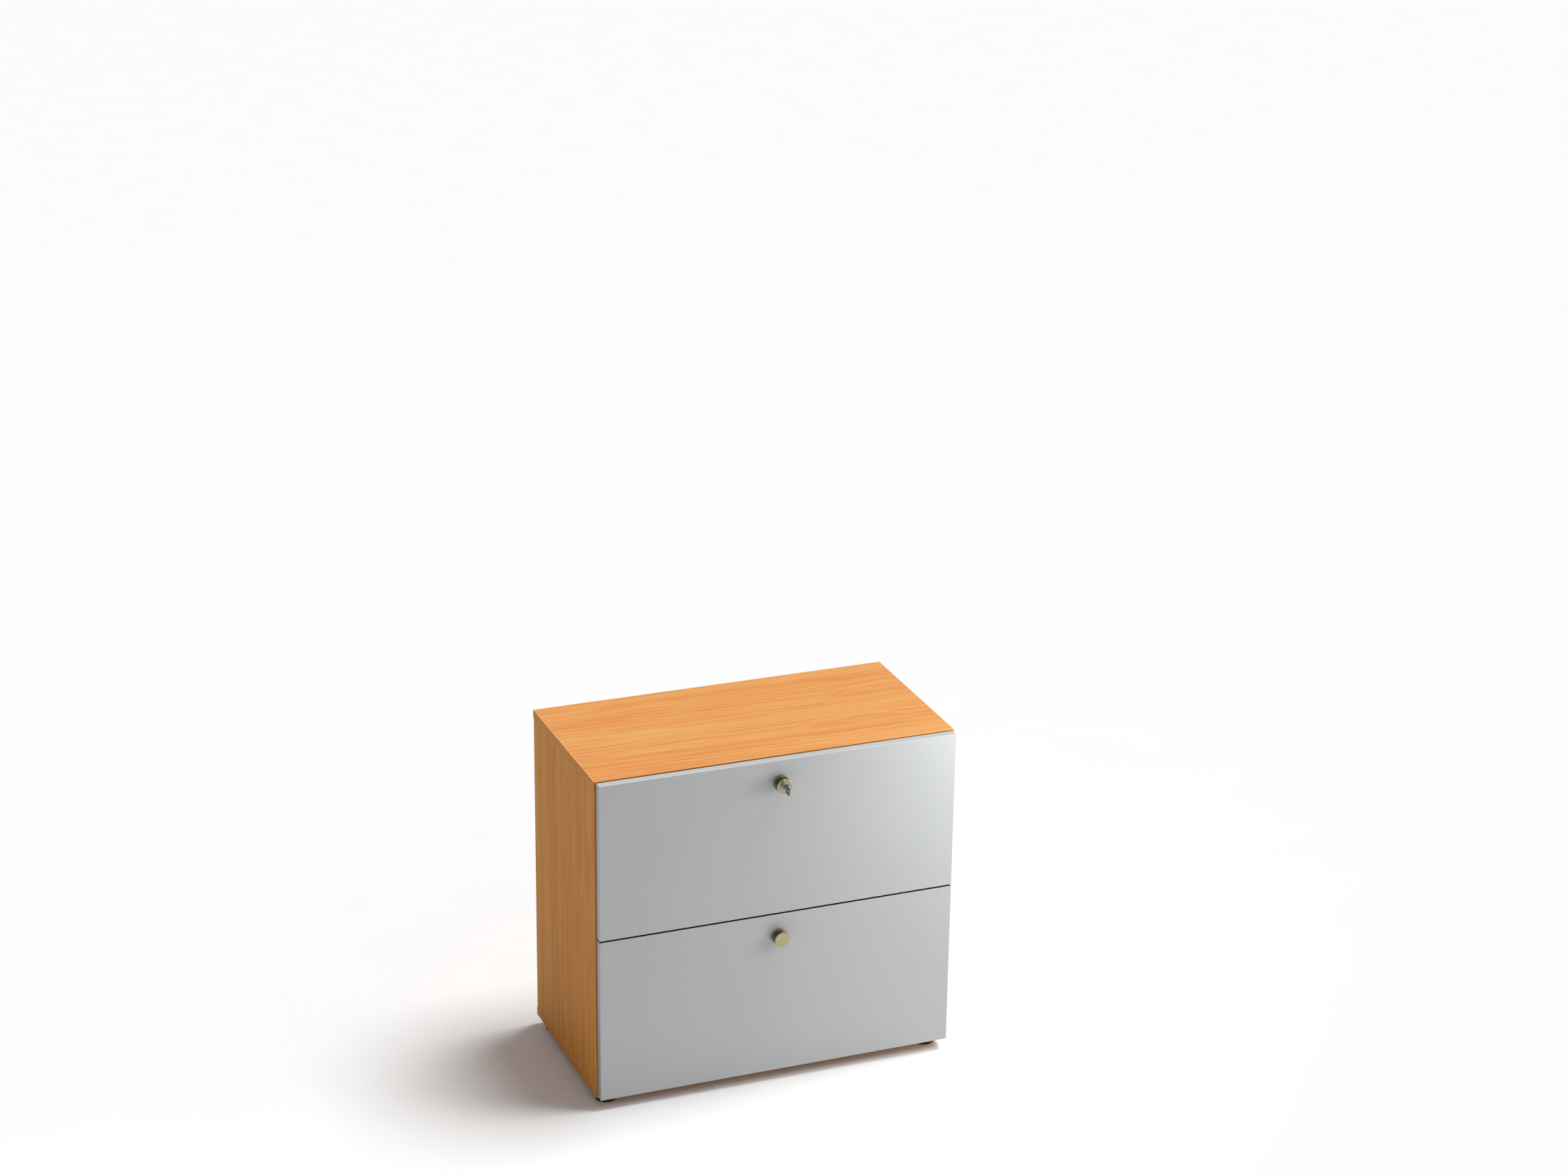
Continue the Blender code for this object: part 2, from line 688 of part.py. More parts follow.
def knob(name, height, bore, bore_depth, carrier):
    """A turned brass knob with black enamelled grooves."""
    top = KNOB_PROJECTION
    profile = [(KNOB_RADIUS - KNOB_RIM, top), (KNOB_RADIUS, top - KNOB_RIM)]
    for low, high in reversed(knob_levels()):
        profile += [(KNOB_RADIUS, high), (GROOVE_FLOOR_RADIUS, high),
                    (GROOVE_FLOOR_RADIUS, low), (KNOB_RADIUS, low)]
    profile += [(KNOB_RADIUS, GAP), (bore, GAP)]
    if bore_depth < top:
        profile = [(0, top)] + profile + [(bore, bore_depth), (0, bore_depth)]
    else:
        profile.append((bore, top))
    place = (0, FRONT_FACE, height)
    piece(name, [turned([profile], KNOB_STEPS, place, (0, -1, 0))], "brass", carrier)


def plain_knob(front, carrier):
    """The lower drawer's knob, held by a screw from inside."""
    height = front[1] - KNOB_DROP
    knob("plain_knob", height, KNOB_SCREW_RADIUS + GAP, KNOB_SCREW_GRIP + GAP, carrier)
    grip = FRONT_THICKNESS + KNOB_SCREW_GRIP
    profile = [(0, KNOB_SCREW_HEAD), (KNOB_SCREW_HEAD_RADIUS, KNOB_SCREW_HEAD),
               (KNOB_SCREW_HEAD_RADIUS, GAP), (KNOB_SCREW_RADIUS, GAP),
               (KNOB_SCREW_RADIUS, -grip), (0, -grip)]
    piece("plain_knob_screw", [turned([profile], PIN_STEPS, (0, FRONT_BACK, height),
                                      (0, 1, 0))], "zinc", carrier)


# Lock


def lock_body(carrier):
    """The cylinder in the knob and the drawer front, and the case behind them."""
    length = FRONT_THICKNESS + KNOB_PROJECTION + CYLINDER_PROUD
    bore = PLUG_RADIUS + GAP
    profile = [(CYLINDER_RADIUS, length), (CYLINDER_RADIUS, 0), (bore, 0), (bore, length)]
    centre = (0, FRONT_BACK, LOCK_HEIGHT)
    piece("lock_cylinder", [turned([profile], FOOT_STEPS, centre, (0, -1, 0))], "nickel", carrier)

    face, plate_back = FRONT_BACK + GAP, FRONT_BACK + GAP + CASE_WALL
    rear = FRONT_BACK + CASE_DEPTH
    low, high = LOCK_HEIGHT - CASE_HEIGHT / 2, LOCK_HEIGHT + CASE_HEIGHT / 2
    half = CASE_WIDTH / 2
    case = piece("lock_case", [box((-half, face, low), (half, rear, high))], "zinc", carrier)
    cut(case, [box((-half + CASE_WALL, plate_back, low + CASE_WALL),
                   (half - CASE_WALL, rear - CASE_WALL, high - CASE_WALL))])
    window = ROD_OFF_AXIS + ROD_HEIGHT + GAP
    cut(case, [box((-half - CASE_WALL, ROD_FRONT - GAP, LOCK_HEIGHT - window),
                   (half + CASE_WALL, ROD_BACK + GAP, LOCK_HEIGHT + window))])
    cut(case, [bar((0, face - CASE_WALL, LOCK_HEIGHT), (0, plate_back + CASE_WALL, LOCK_HEIGHT),
                   bore, FOOT_STEPS)])


def lock_plug(carrier):
    """The plug that the key turns, and the cam plate on its tail."""
    plate_back = FRONT_BACK + GAP + CASE_WALL
    cam_front, cam_back = plate_back + GAP, plate_back + GAP + CAM_PLATE
    face = KNOB_END - CYLINDER_PROUD - PLUG_PROUD
    plug = piece("lock_plug", [bar((0, face, LOCK_HEIGHT), (0, plate_back, LOCK_HEIGHT),
                                   PLUG_RADIUS, FOOT_STEPS)], "nickel", carrier)
    half = TAIL_WIDTH / 2
    join(plug, [box((-half, plate_back - TAIL_WIDTH, LOCK_HEIGHT - half),
                    (half, cam_back, LOCK_HEIGHT + half))])
    across, up = KEY_THICKNESS / 2 + GAP, KEY_SHANK_HEIGHT / 2 + GAP
    cut(plug, [box((-across, face - KEY_NECK, LOCK_HEIGHT - up),
                   (across, face + KEY_IN_PLUG + GAP, LOCK_HEIGHT + up))])

    plate_middle = (cam_front + cam_back) / 2
    cam_plate = piece("lock_cam", [bar((0, cam_front, LOCK_HEIGHT), (0, cam_back, LOCK_HEIGHT),
                                       CAM_PLATE_RADIUS, FOOT_STEPS)], "zinc", carrier)
    pins = [(side * CAM_PIN_OFFSET, LOCK_HEIGHT - side * CAM_PIN_OFFSET) for side in (-1, 1)]
    join(cam_plate, [bar((x, plate_middle, z), (x, ROD_BACK + CAM_PIN_RADIUS / 2, z),
                         CAM_PIN_RADIUS, PIN_STEPS) for x, z in pins])
    half += GAP
    cut(cam_plate, [box((-half, cam_front - GAP, LOCK_HEIGHT - half),
                        (half, cam_back + GAP, LOCK_HEIGHT + half))])


def key(carrier):
    """A flat key: a notched shank in the plug and a bow with a hole."""
    tip = KNOB_END - CYLINDER_PROUD - PLUG_PROUD + KEY_IN_PLUG
    shank, bow = KEY_SHANK_HEIGHT / 2, KEY_BOW / 2
    bow_rear, bow_front = KNOB_END - KEY_NECK, KNOB_END - KEY_REACH
    near, far = bow_rear - KEY_BOW_ROUND, bow_front + KEY_BOW_ROUND
    edge = bow - KEY_BOW_ROUND
    outline = [(tip, shank - KEY_NOTCH), (tip, -shank + KEY_NOTCH), (tip - KEY_NOTCH, -shank)]
    step = KEY_IN_PLUG / (KEY_NOTCHES + 1)
    for i in range(1, KEY_NOTCHES + 1):
        middle = tip - step * i
        outline += [(middle + KEY_NOTCH, -shank), (middle, -shank + KEY_NOTCH),
                    (middle - KEY_NOTCH, -shank)]
    outline.append((bow_rear, -shank))
    outline += arc((near, -edge), KEY_BOW_ROUND, 0, -90)
    outline += arc((far, -edge), KEY_BOW_ROUND, -90, -180)
    outline += arc((far, edge), KEY_BOW_ROUND, 180, 90)
    outline += arc((near, edge), KEY_BOW_ROUND, 90, 0)
    outline += [(bow_rear, shank), (tip - KEY_NOTCH, shank)]
    hole = arc((far, 0), KEY_HOLE_RADIUS, 0, 180) + arc((far, 0), KEY_HOLE_RADIUS, 180, 360)[1:-1]
    loops = [[(y, z + LOCK_HEIGHT) for y, z in loop] for loop in (outline, hole)]
    piece("key", [plate(loops, (-KEY_THICKNESS / 2, KEY_THICKNESS / 2), "X")], "key_steel",
          carrier)


def rod_outline(tip_points):
    """A lock rod along +X over the lock's axis: a fork round a cam pin, and its tip."""
    low, high = ROD_OFF_AXIS, ROD_OFF_AXIS + ROD_HEIGHT
    slot = CAM_PIN_RADIUS + ROD_FORK_PLAY
    slot_top = CAM_PIN_OFFSET * math.sqrt(2) + slot
    fork = [(-CAM_PIN_OFFSET - slot - ROD_FORK_END, low), (-CAM_PIN_OFFSET - slot, low),
            (-CAM_PIN_OFFSET - slot, slot_top), (-CAM_PIN_OFFSET + slot, slot_top),
            (-CAM_PIN_OFFSET + slot, low)]
    return fork + tip_points + [(-CAM_PIN_OFFSET - slot - ROD_FORK_END, high)]


def lock_rods(left_carrier, right_carrier):
    """Two rods that the cam pushes outward. The left one ends in a wedge."""
    low, high = ROD_OFF_AXIS, ROD_OFF_AXIS + ROD_HEIGHT
    blunt = [(ROD_TIP - ROD_TIP_CHAMFER, low), (ROD_TIP, low + ROD_TIP_CHAMFER),
             (ROD_TIP, high - ROD_TIP_CHAMFER), (ROD_TIP - ROD_TIP_CHAMFER, high)]
    wedge = [(ROD_TIP - ROD_HEIGHT, low), (ROD_TIP, high)]
    for name, tip, way, carrier in (("right_lock_rod", blunt, 1, right_carrier),
                                    ("left_lock_rod", wedge, -1, left_carrier)):
        outline = [(way * x, LOCK_HEIGHT + way * z) for x, z in rod_outline(tip)]
        piece(name, [plate([outline], (ROD_FRONT, ROD_BACK), "Y")], "zinc", carrier)


def rod_guides(carrier):
    """Plastic loops on the back of the upper front, which hold the rods near their tips."""
    for name, way in SIDES.items():
        rod = [LOCK_HEIGHT + way * z for z in (ROD_OFF_AXIS, ROD_OFF_AXIS + ROD_HEIGHT)]
        low, high = min(rod) - GAP, max(rod) + GAP
        front, back = ROD_FRONT - GAP, ROD_BACK + GAP
        outer = [(FRONT_BACK + GAP, low - GUIDE_WALL), (back + GUIDE_WALL, low - GUIDE_WALL),
                 (back + GUIDE_WALL, high + GUIDE_WALL), (FRONT_BACK + GAP, high + GUIDE_WALL)]
        hole = [(front, low), (back, low), (back, high), (front, high)]
        start = ROD_TIP - GUIDE_FROM_TIP
        piece(f"{name}_rod_guide", [plate([outer, hole], (way * start, way * (start - GUIDE_WIDTH)),
                                          "X")], "black_plastic", carrier)


def hook_top():
    """The top of the lock bar's hook at rest: lifted, it stays under the lower middle rail."""
    return slide_height(LOWER_FRONT) - MIDDLE_RAIL_HALF - HOOK_CLEARANCE - ROD_TRAVEL


def bar_head():
    """The bottom and the top of the lock bar's head, whose bevel rests over the rod's wedge."""
    low = LOCK_HEIGHT - ROD_OFF_AXIS - ROD_HEIGHT + GAP * math.sqrt(2)
    return (low, low + BAR_HEAD_HEIGHT)


def lock_bar(carrier):
    """The bar that the left rod lifts: its hook then stands before the lower drawer's catch."""
    outer, inner = -BAR_OUTER, -BAR_INNER
    low, high = bar_head()
    hook = outer + BAR_HOOK_REACH
    top = hook_top()
    outline = [(outer, top - BAR_HOOK_HEIGHT), (hook, top - BAR_HOOK_HEIGHT), (hook, top),
               (inner, top), (inner, low), (-ROD_TIP, low),
               (-ROD_TIP + BAR_HEAD_REACH, low + BAR_HEAD_REACH),
               (-ROD_TIP + BAR_HEAD_REACH, high), (outer, high)]
    piece("central_lock_bar", [plate([outline], (BAR_FRONT, BAR_BACK), "Y")], "zinc", carrier)


def lock_bar_guide():
    """A plastic saddle that holds the lock bar against the left side panel."""
    front, back = BAR_FRONT - GAP, BAR_BACK + GAP
    start = back + BAR_GUIDE_WALL
    tab, end = GAP + BAR_GUIDE_WALL, start + BAR_GUIDE_TAB
    inner = GAP + BAR_THICKNESS + GAP
    crown = inner + BAR_GUIDE_WALL
    section = [(GAP, front - BAR_GUIDE_WALL), (crown, front - BAR_GUIDE_WALL), (crown, start),
               (tab, start), (tab, end), (GAP, end), (GAP, back), (inner, back),
               (inner, front), (GAP, front)]
    outline = [(-SIDE_INNER + offset, y) for offset, y in section]
    middle = (slide_height(LOWER_FRONT) + slide_height(UPPER_FRONT)) / 2
    half = BAR_GUIDE_HEIGHT / 2
    piece("lock_bar_guide", [plate([outline], (middle - half, middle + half), "Z")],
          "black_plastic")


def strikes():
    """Angles on the side panels that the locked rods stand behind."""
    tab_low = bar_head()[1] + ROD_TRAVEL + STRIKE_OVERLAP
    high = tab_low + STRIKE_TAB
    front = CARCASS_FRONT + STRIKE_SETBACK
    wall_back, tab_back = front + STRIKE_THICKNESS, front + STRIKE_DEPTH
    bottom = LOCK_HEIGHT - ROD_OFF_AXIS - ROD_HEIGHT - STRIKE_OVERLAP
    past = STRIKE_THICKNESS
    for name, side in SIDES.items():
        outer, inner = side * (SIDE_INNER - GAP), side * (SIDE_INNER - STRIKE_REACH)
        tab_inner = side * (SIDE_INNER - GAP - STRIKE_THICKNESS)
        angle = piece(f"{name}_strike", [box((outer, front, bottom), (inner, tab_back, high))],
                      "zinc")
        cut(angle, [box((tab_inner, wall_back, bottom - past),
                        (inner - side * past, tab_back + past, high + past))])
        cut(angle, [box((outer + side * past, wall_back, bottom - past),
                        (inner, tab_back + past, tab_low))])


def lower_catch(carrier):
    """The catch on the lower left hanging rail, behind the lock bar's lifted hook."""
    low, high = hook_top() + CATCH_CLEARANCE, web_bottom(LOWER_FRONT) - GAP
    start = BAR_BACK + CATCH_SETBACK
    plate_outer = -FRAME_SIDE + FRAME_STEEL + GAP
    plate_inner = plate_outer + CATCH_PLATE
    outline = [(-SIDE_INNER + CATCH_FROM_SIDE, low), (plate_inner, low),
               (plate_inner, high + CATCH_UPRIGHT), (plate_outer, high + CATCH_UPRIGHT),
               (plate_outer, high), (-SIDE_INNER + CATCH_FROM_SIDE, high)]
    piece("lower_lock_catch", [plate([outline], (start, start + CATCH_LENGTH), "Y")], "zinc",
          carrier)


def cabinet():
    """The whole object."""
    carcass()
    feet()
    strikes()
    lock_bar_guide()
    for name, front in (("lower", LOWER_FRONT), ("upper", UPPER_FRONT)):
        cabinet_rails(name, front)
        running_gear(name, front)

    lower = joint("lower_drawer_joint", (0, CARCASS_FRONT, slide_height(LOWER_FRONT)))
    drawer("lower", LOWER_FRONT, KNOB_SCREW_RADIUS + GAP, lower)
    plain_knob(LOWER_FRONT, lower)
    lower_catch(lower)

    upper = joint("upper_drawer_joint", (0, CARCASS_FRONT, slide_height(UPPER_FRONT)))
    drawer("upper", UPPER_FRONT, CYLINDER_RADIUS + GAP, upper)
    knob("lock_knob", LOCK_HEIGHT, CYLINDER_RADIUS + GAP, KNOB_PROJECTION, upper)
    lock_body(upper)
    rod_guides(upper)

    turn = joint("lock_turn_joint", (0, KNOB_END, LOCK_HEIGHT), upper)
    lock_plug(turn)
    key(joint("key_joint", (0, KNOB_END, LOCK_HEIGHT), turn))
    rod_place = (0, ROD_FRONT, LOCK_HEIGHT)
    lock_rods(joint("left_rod_joint", rod_place, upper),
              joint("right_rod_joint", rod_place, upper))
    lock_bar(joint("lock_bar_joint", (-BAR_INNER, BAR_FRONT, bar_head()[0])))


clear_scene()
PARTS = collection("hanging_file_cabinet")
CUTTERS = collection("cutters")
cabinet()
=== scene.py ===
"""The looks of the two-drawer hanging file cabinet, in metres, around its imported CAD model:
a beech carcass, silver drawer fronts, turned brass knobs and the steel works inside."""
import json
import math

import bmesh
import bpy
from mathutils import Matrix, Vector

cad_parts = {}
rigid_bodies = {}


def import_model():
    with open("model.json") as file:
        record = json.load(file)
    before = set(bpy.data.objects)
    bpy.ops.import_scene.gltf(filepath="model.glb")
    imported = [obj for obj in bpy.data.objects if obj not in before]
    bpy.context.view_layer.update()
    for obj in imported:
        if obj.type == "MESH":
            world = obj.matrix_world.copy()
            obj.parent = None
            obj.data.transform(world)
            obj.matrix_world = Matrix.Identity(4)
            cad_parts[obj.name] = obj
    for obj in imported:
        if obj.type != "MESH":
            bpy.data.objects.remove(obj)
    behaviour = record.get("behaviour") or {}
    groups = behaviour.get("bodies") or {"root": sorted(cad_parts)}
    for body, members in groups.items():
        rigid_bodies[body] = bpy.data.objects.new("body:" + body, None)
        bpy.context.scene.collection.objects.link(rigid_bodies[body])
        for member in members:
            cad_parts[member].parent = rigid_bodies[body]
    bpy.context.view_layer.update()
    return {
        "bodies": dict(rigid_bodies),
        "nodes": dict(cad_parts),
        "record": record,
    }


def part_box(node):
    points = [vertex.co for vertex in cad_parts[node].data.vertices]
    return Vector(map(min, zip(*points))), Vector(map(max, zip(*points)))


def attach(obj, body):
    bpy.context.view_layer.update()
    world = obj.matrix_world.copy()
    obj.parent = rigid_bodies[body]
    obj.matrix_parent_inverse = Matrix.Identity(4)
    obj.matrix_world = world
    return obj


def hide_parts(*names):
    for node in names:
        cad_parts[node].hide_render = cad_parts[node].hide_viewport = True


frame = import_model()
NODES = frame["nodes"]
SIDES = {"left": -1, "right": 1}
DRAWERS = ("lower", "upper")

# The photograph's camera
CAMERA_PLACE = Vector((-2.4868, -6.3568, 3.6795))
CAMERA_YAW = 0.3832
CAMERA_PITCH = 0.3665
CAMERA_ROLL = 0.0140
CAMERA_LENS = 80.92
CAMERA_SENSOR = 36.0
CAMERA_CLIP = 60

# Rounded edges
FRONT_ROUND = 0.0006
BOARD_ROUND = 0.0005
BAND_ROUND = 0.0009
ROUND_STEPS = 4
SHARP_ANGLE = 32
MERGE_DISTANCE = 0.000001

# How far in from both faces a rounded edge's middle lies, as a share of its radius
ROUND_MIDDLE = 0.3

# How much of a face's normal lies along an axis when the face takes that side's look
FACING = 0.5
HIGHLIGHT_RIM_FACING = 0.4
BAND_FACING = 0.9

# The groove that the back panel sits in
GROOVE_ROOM = Vector((0.0003, 0.0003, 0.0003))

# Knobs
KNOB_STEPS = 96
KNOB_BASE = 0.0085
KNOB_GROOVES = 3
KNOB_RING = 0.001
KNOB_FACE = 0.002
KNOB_GROOVE_DEPTH = 0.0012
KNOB_LIP = 0.0002
KNOB_RIM = 0.0012
KNOB_DISH = 0.0004
KNOB_DISH_FORM = ((0, 1), (0.5, 0.85), (0.78, 0.5))
KNOB_SOCKET = 0.010
LOCK_BORE = 0.0099
SCREW_BORE = 0.0023

# Lock and key
CYLINDER_CHAMFER = 0.0005
PLUG_CLEARANCE = 0.0003
PLUG_TAIL = (0.003, 0.008)
KEYWAY = (0.0026, 0.0076)
KEYWAY_DEPTH = 0.021
KEY_CHAMFER = 0.00025
KEY_BOW = 0.022
KEY_BOW_ROUND = 0.006
KEY_NECK_LENGTH = 0.006
KEY_SHANK = 0.007
KEY_NOTCH = 0.0012
KEY_NOTCHES = 4
KEY_SHALLOW_NOTCH = 0.6
KEY_NOTCH_FLOOR = 0.2
KEY_HOLE_RADIUS = 0.0025
KEY_HOLE_STEPS = 32

# Levelling feet
FOOT_STEPS = 64
FOOT_PAD = 0.012
FOOT_RIM = 0.004
FOOT_SHOULDER = 0.014
FOOT_ROUND = 0.0006
FOOT_RIM_SWELL = 0.0004
FOOT_SOLE_ROUND = 0.001
FOOT_STUD = 0.004
THREAD_PITCH = 0.00125
THREAD_DEPTH = 0.0005

# Small fittings, whose forms are shares of their radius and height
FITTING_STEPS = 24
SCREW_RADIUS = 0.0033
SCREW_HEIGHT = 0.0004
SCREW_FORM = ((0, 1), (0.7, 1), (0.95, 0.5), (1, 0), (0, 0))
SCREWS_FROM_FRONT = (0.012, 0.045)
SCREWS_FROM_REAR = (0.07, 0.02)
RAIL_WALL = 0.0012
BUFFER_RADIUS = 0.0045
BUFFER_HEIGHT = 0.0008
BUFFER_FORM = ((0, 1), (0.5, 1), (0.85, 0.7), (1, 0), (0, 0))
BUFFER_FROM_SIDE = 0.008
BUFFER_FROM_END = 0.03
CAP_RADIUS = 0.0085
CAP_HEIGHT = 0.0009
CAP_FORM = ((0, 1), (0.8, 1), (0.96, 0.6), (1, 0), (0, 0))
CAP_FROM_FRONT = 0.065
CAP_FROM_REAR = 0.075
CAP_FROM_END = 0.036

# Studio
FLOOR_REACH = 14
SKY_STRENGTH = 0.30
BACKDROP_STRENGTH = 0.98
SUN_STRENGTH = 2.6
SUN_ANGLE = 30
SUN_FROM = Vector((0.38, 0.0, 0.92))
SOFTBOX_PLACE = (0.68, -0.60, 0.74)
SOFTBOX_AIM = (0.25, -0.18, 0.52)
SOFTBOX_SIZE = 0.45
SOFTBOX_POWER = 4.05


def paint(red, green, blue):
    """A colour as the photograph shows it, 0 to 255, made linear."""
    shown = [value / 255 for value in (red, green, blue)]
    linear = [v / 12.92 if v <= 0.04045 else ((v + 0.055) / 1.055) ** 2.4 for v in shown]
    return (*linear, 1)


# Materials

class Look:
    """A node material in the making. Each method adds a node and returns its output."""

    def __init__(self, name):
        self.material = bpy.data.materials.new(name)
        self.material.use_nodes = True
        self.tree = self.material.node_tree
        self.shader = self.tree.nodes["Principled BSDF"]
        self.place = self.node("TexCoord", {}, "Object")

    def node(self, kind, inputs, output=0, **settings):
        made = self.tree.nodes.new(f"ShaderNode{kind}")
        for name, value in settings.items():
            setattr(made, name, value)
        for name, value in inputs.items():
            if isinstance(value, bpy.types.NodeSocket):
                self.tree.links.new(value, made.inputs[name])
            else:
                made.inputs[name].default_value = value
        return made.outputs[output]

    def math(self, operation, a, b):
        return self.node("Math", {0: a, 1: b}, operation=operation)

    def moved(self, vector, location=(0, 0, 0), rotation=(0, 0, 0), scale=(1, 1, 1)):
        turn = [math.radians(angle) for angle in rotation]
        return self.node("Mapping", {"Vector": vector, "Location": location,
                                     "Rotation": turn, "Scale": scale})

    def noise(self, vector, scale, detail, roughness=0.5):
        """Noise with its own fineness along each axis, in cycles to the metre."""
        return self.node("TexNoise", {"Vector": self.moved(vector, scale=scale), "Scale": 1.0,
                                      "Detail": detail, "Roughness": roughness})

    def cells(self, vector, scale):
        return self.node("TexVoronoi", {"Vector": self.moved(vector, scale=scale), "Scale": 1.0},
                         "Distance")

    def rings(self, vector, spacing, distortion, detail_scale):
        return self.node("TexWave", {"Vector": vector, "Scale": math.pi / 10 / spacing,
                                     "Distortion": distortion, "Detail": 2.0,
                                     "Detail Scale": detail_scale},
                         "Fac", wave_type="RINGS", rings_direction="X")

    def spread(self, value, low, high, to_low, to_high):
        return self.node("MapRange", {"Value": value, "From Min": low, "From Max": high,
                                      "To Min": to_low, "To Max": to_high})

    def ramp(self, factor, stops):
        made = self.tree.nodes.new("ShaderNodeValToRGB")
        self.tree.links.new(factor, made.inputs[0])
        while len(made.color_ramp.elements) < len(stops):
            made.color_ramp.elements.new(0.5)
        for element, (position, colour) in zip(made.color_ramp.elements, stops):
            element.position = position
            element.color = colour
        return made.outputs[0]

    def mix(self, factor, a, b):
        return self.node("Mix", {0: factor, 6: a, 7: b}, 2, data_type="RGBA")

    def bump(self, height, depth):
        """Relief of a depth in metres."""
        normal = self.node("Bump", {"Height": height, "Distance": depth, "Strength": 1.0})
        self.tree.links.new(normal, self.shader.inputs["Normal"])

    def finish(self, **values):
        for name, value in values.items():
            socket = self.shader.inputs[name.replace("_", " ")]
            if isinstance(value, bpy.types.NodeSocket):
                self.tree.links.new(value, socket)
            else:
                socket.default_value = value
        return self.material


def beech(name, turn, start, tones, stripes=0.05):
    """Beech laminate: broad bands, stripes, wavy streaks, growth rings, fine fibres and beech's
    short dark flecks."""
    look = Look(name)
    along = look.moved(look.place, location=start, rotation=turn)
    sway = look.spread(look.noise(along, (2.6, 8, 8), 2), 0.3, 0.7, -0.009, 0.009)
    bent = look.node("VectorMath", {0: along, 1: look.node("CombineXYZ", {1: sway, 2: sway})},
                     operation="ADD")
    bands = look.noise(bent, (1.2, 17, 17), 2)
    lines = look.noise(bent, (0.9, 48, 48), 2)
    streaks = look.noise(bent, (2.6, 120, 120), 5, 0.7)
    rings = look.rings(look.moved(bent, scale=(0.12, 1, 1), rotation=(0, 12, 5)), 0.013, 2.2, 0.5)
    fibres = look.noise(bent, (14, 620, 620), 3, 0.6)
    tone = look.spread(streaks, 0.32, 0.68, 0.2, 0.8)
    tone = look.math("ADD", tone, look.spread(bands, 0.3, 0.7, -0.15, 0.15))
    tone = look.math("ADD", tone, look.spread(lines, 0.35, 0.65, -stripes, stripes))
    tone = look.math("ADD", tone, look.spread(rings, 0.0, 1.0, -0.10, 0.10))
    tone = look.math("ADD", tone, look.spread(fibres, 0.3, 0.7, -0.12, 0.12))
    colour = look.ramp(tone, list(zip((0.10, 0.36, 0.56, 0.85), tones)))
    flecks = look.spread(look.cells(bent, (120, 1000, 1000)), 0.08, 0.2, 0.25, 0.0)
    colour = look.mix(flecks, colour, tones[0])
    look.bump(look.math("ADD", fibres, look.math("MULTIPLY", flecks, -0.6)), 0.00002)
    return look.finish(Base_Color=colour, Roughness=look.spread(streaks, 0.3, 0.7, 0.54, 0.62),
                       Specular_IOR_Level=0.06)


def silver(name, low, high):
    """Silver-grey laminate: a fine metallic grain under a satin face."""
    look = Look(name)
    grain = look.noise(look.place, (2600, 2600, 2600), 2)
    cloud = look.noise(look.place, (4, 4, 4), 1)
    tone = look.math("ADD", look.spread(grain, 0.3, 0.7, 0.35, 0.65),
                     look.spread(cloud, 0.3, 0.7, -0.12, 0.12))
    colour = look.ramp(tone, [(0.2, low), (0.8, high)])
    look.bump(grain, 0.000006)
    return look.finish(Base_Color=colour, Metallic=0.12,
                       Roughness=look.spread(grain, 0.3, 0.7, 0.36, 0.44))


def turned_metal(name, low, high, roughness):
    """A turned metal with fine tool rings about the knob's axis, and slight tarnish."""
    look = Look(name)
    tarnish = look.noise(look.place, (420, 420, 420), 3, 0.5)
    rings = look.noise(look.place, (60, 9000, 60), 2)
    colour = look.ramp(tarnish, [(0.35, low), (0.65, high)])
    look.bump(rings, 0.000006)
    return look.finish(Base_Color=colour, Metallic=1.0,
                       Roughness=look.spread(tarnish, 0.3, 0.7, roughness, roughness + 0.1))


def enamel(name):
    """Black enamel in the knobs' grooves."""
    look = Look(name)
    dust = look.noise(look.place, (900, 900, 900), 3)
    colour = look.ramp(dust, [(0.4, paint(14, 14, 13)), (0.8, paint(34, 33, 31))])
    return look.finish(Base_Color=colour, Roughness=look.spread(dust, 0.3, 0.7, 0.3, 0.45))


def worn_steel(name, low, high, roughness, scratch_scale):
    """Plated steel with fine scratches."""
    look = Look(name)
    cloud = look.noise(look.place, (45, 45, 45), 4, 0.6)
    scratches = look.noise(look.place, scratch_scale, 3, 0.6)
    tone = look.math("ADD", look.math("MULTIPLY", cloud, 0.6),
                     look.math("MULTIPLY", scratches, 0.4))
    colour = look.ramp(tone, [(0.35, low), (0.65, high)])
    look.bump(scratches, 0.000012)
    return look.finish(Base_Color=colour, Metallic=1.0,
                       Roughness=look.spread(scratches, 0.3, 0.7, roughness, roughness + 0.12))


def powder_coat(name):
    """Grey powder coat, with its orange-peel surface."""
    look = Look(name)
    peel = look.noise(look.place, (520, 520, 520), 2)
    cloud = look.noise(look.place, (14, 14, 14), 2)
    colour = look.ramp(cloud, [(0.35, paint(132, 135, 138)), (0.65, paint(142, 145, 148))])
    look.bump(peel, 0.00006)
    return look.finish(Base_Color=colour, Roughness=look.spread(peel, 0.3, 0.7, 0.42, 0.55))


def moulded(name, low, high):
    """Moulded plastic with a fine eroded texture."""
    look = Look(name)
    pits = look.noise(look.place, (3200, 3200, 3200), 2)
    cloud = look.noise(look.place, (70, 70, 70), 3)
    colour = look.ramp(cloud, [(0.35, low), (0.65, high)])
    look.bump(pits, 0.00003)
    return look.finish(Base_Color=colour, Roughness=look.spread(pits, 0.3, 0.7, 0.5, 0.62))


def dress(node, material):
    """Give a CAD node another material."""
    mesh = NODES[node].data
    mesh.materials.clear()
    mesh.materials.append(material)


# Shapes

def placed(name, data):
    """A new object in the scene."""
    thing = bpy.data.objects.new(name, data)
    bpy.context.scene.collection.objects.link(thing)
    return thing


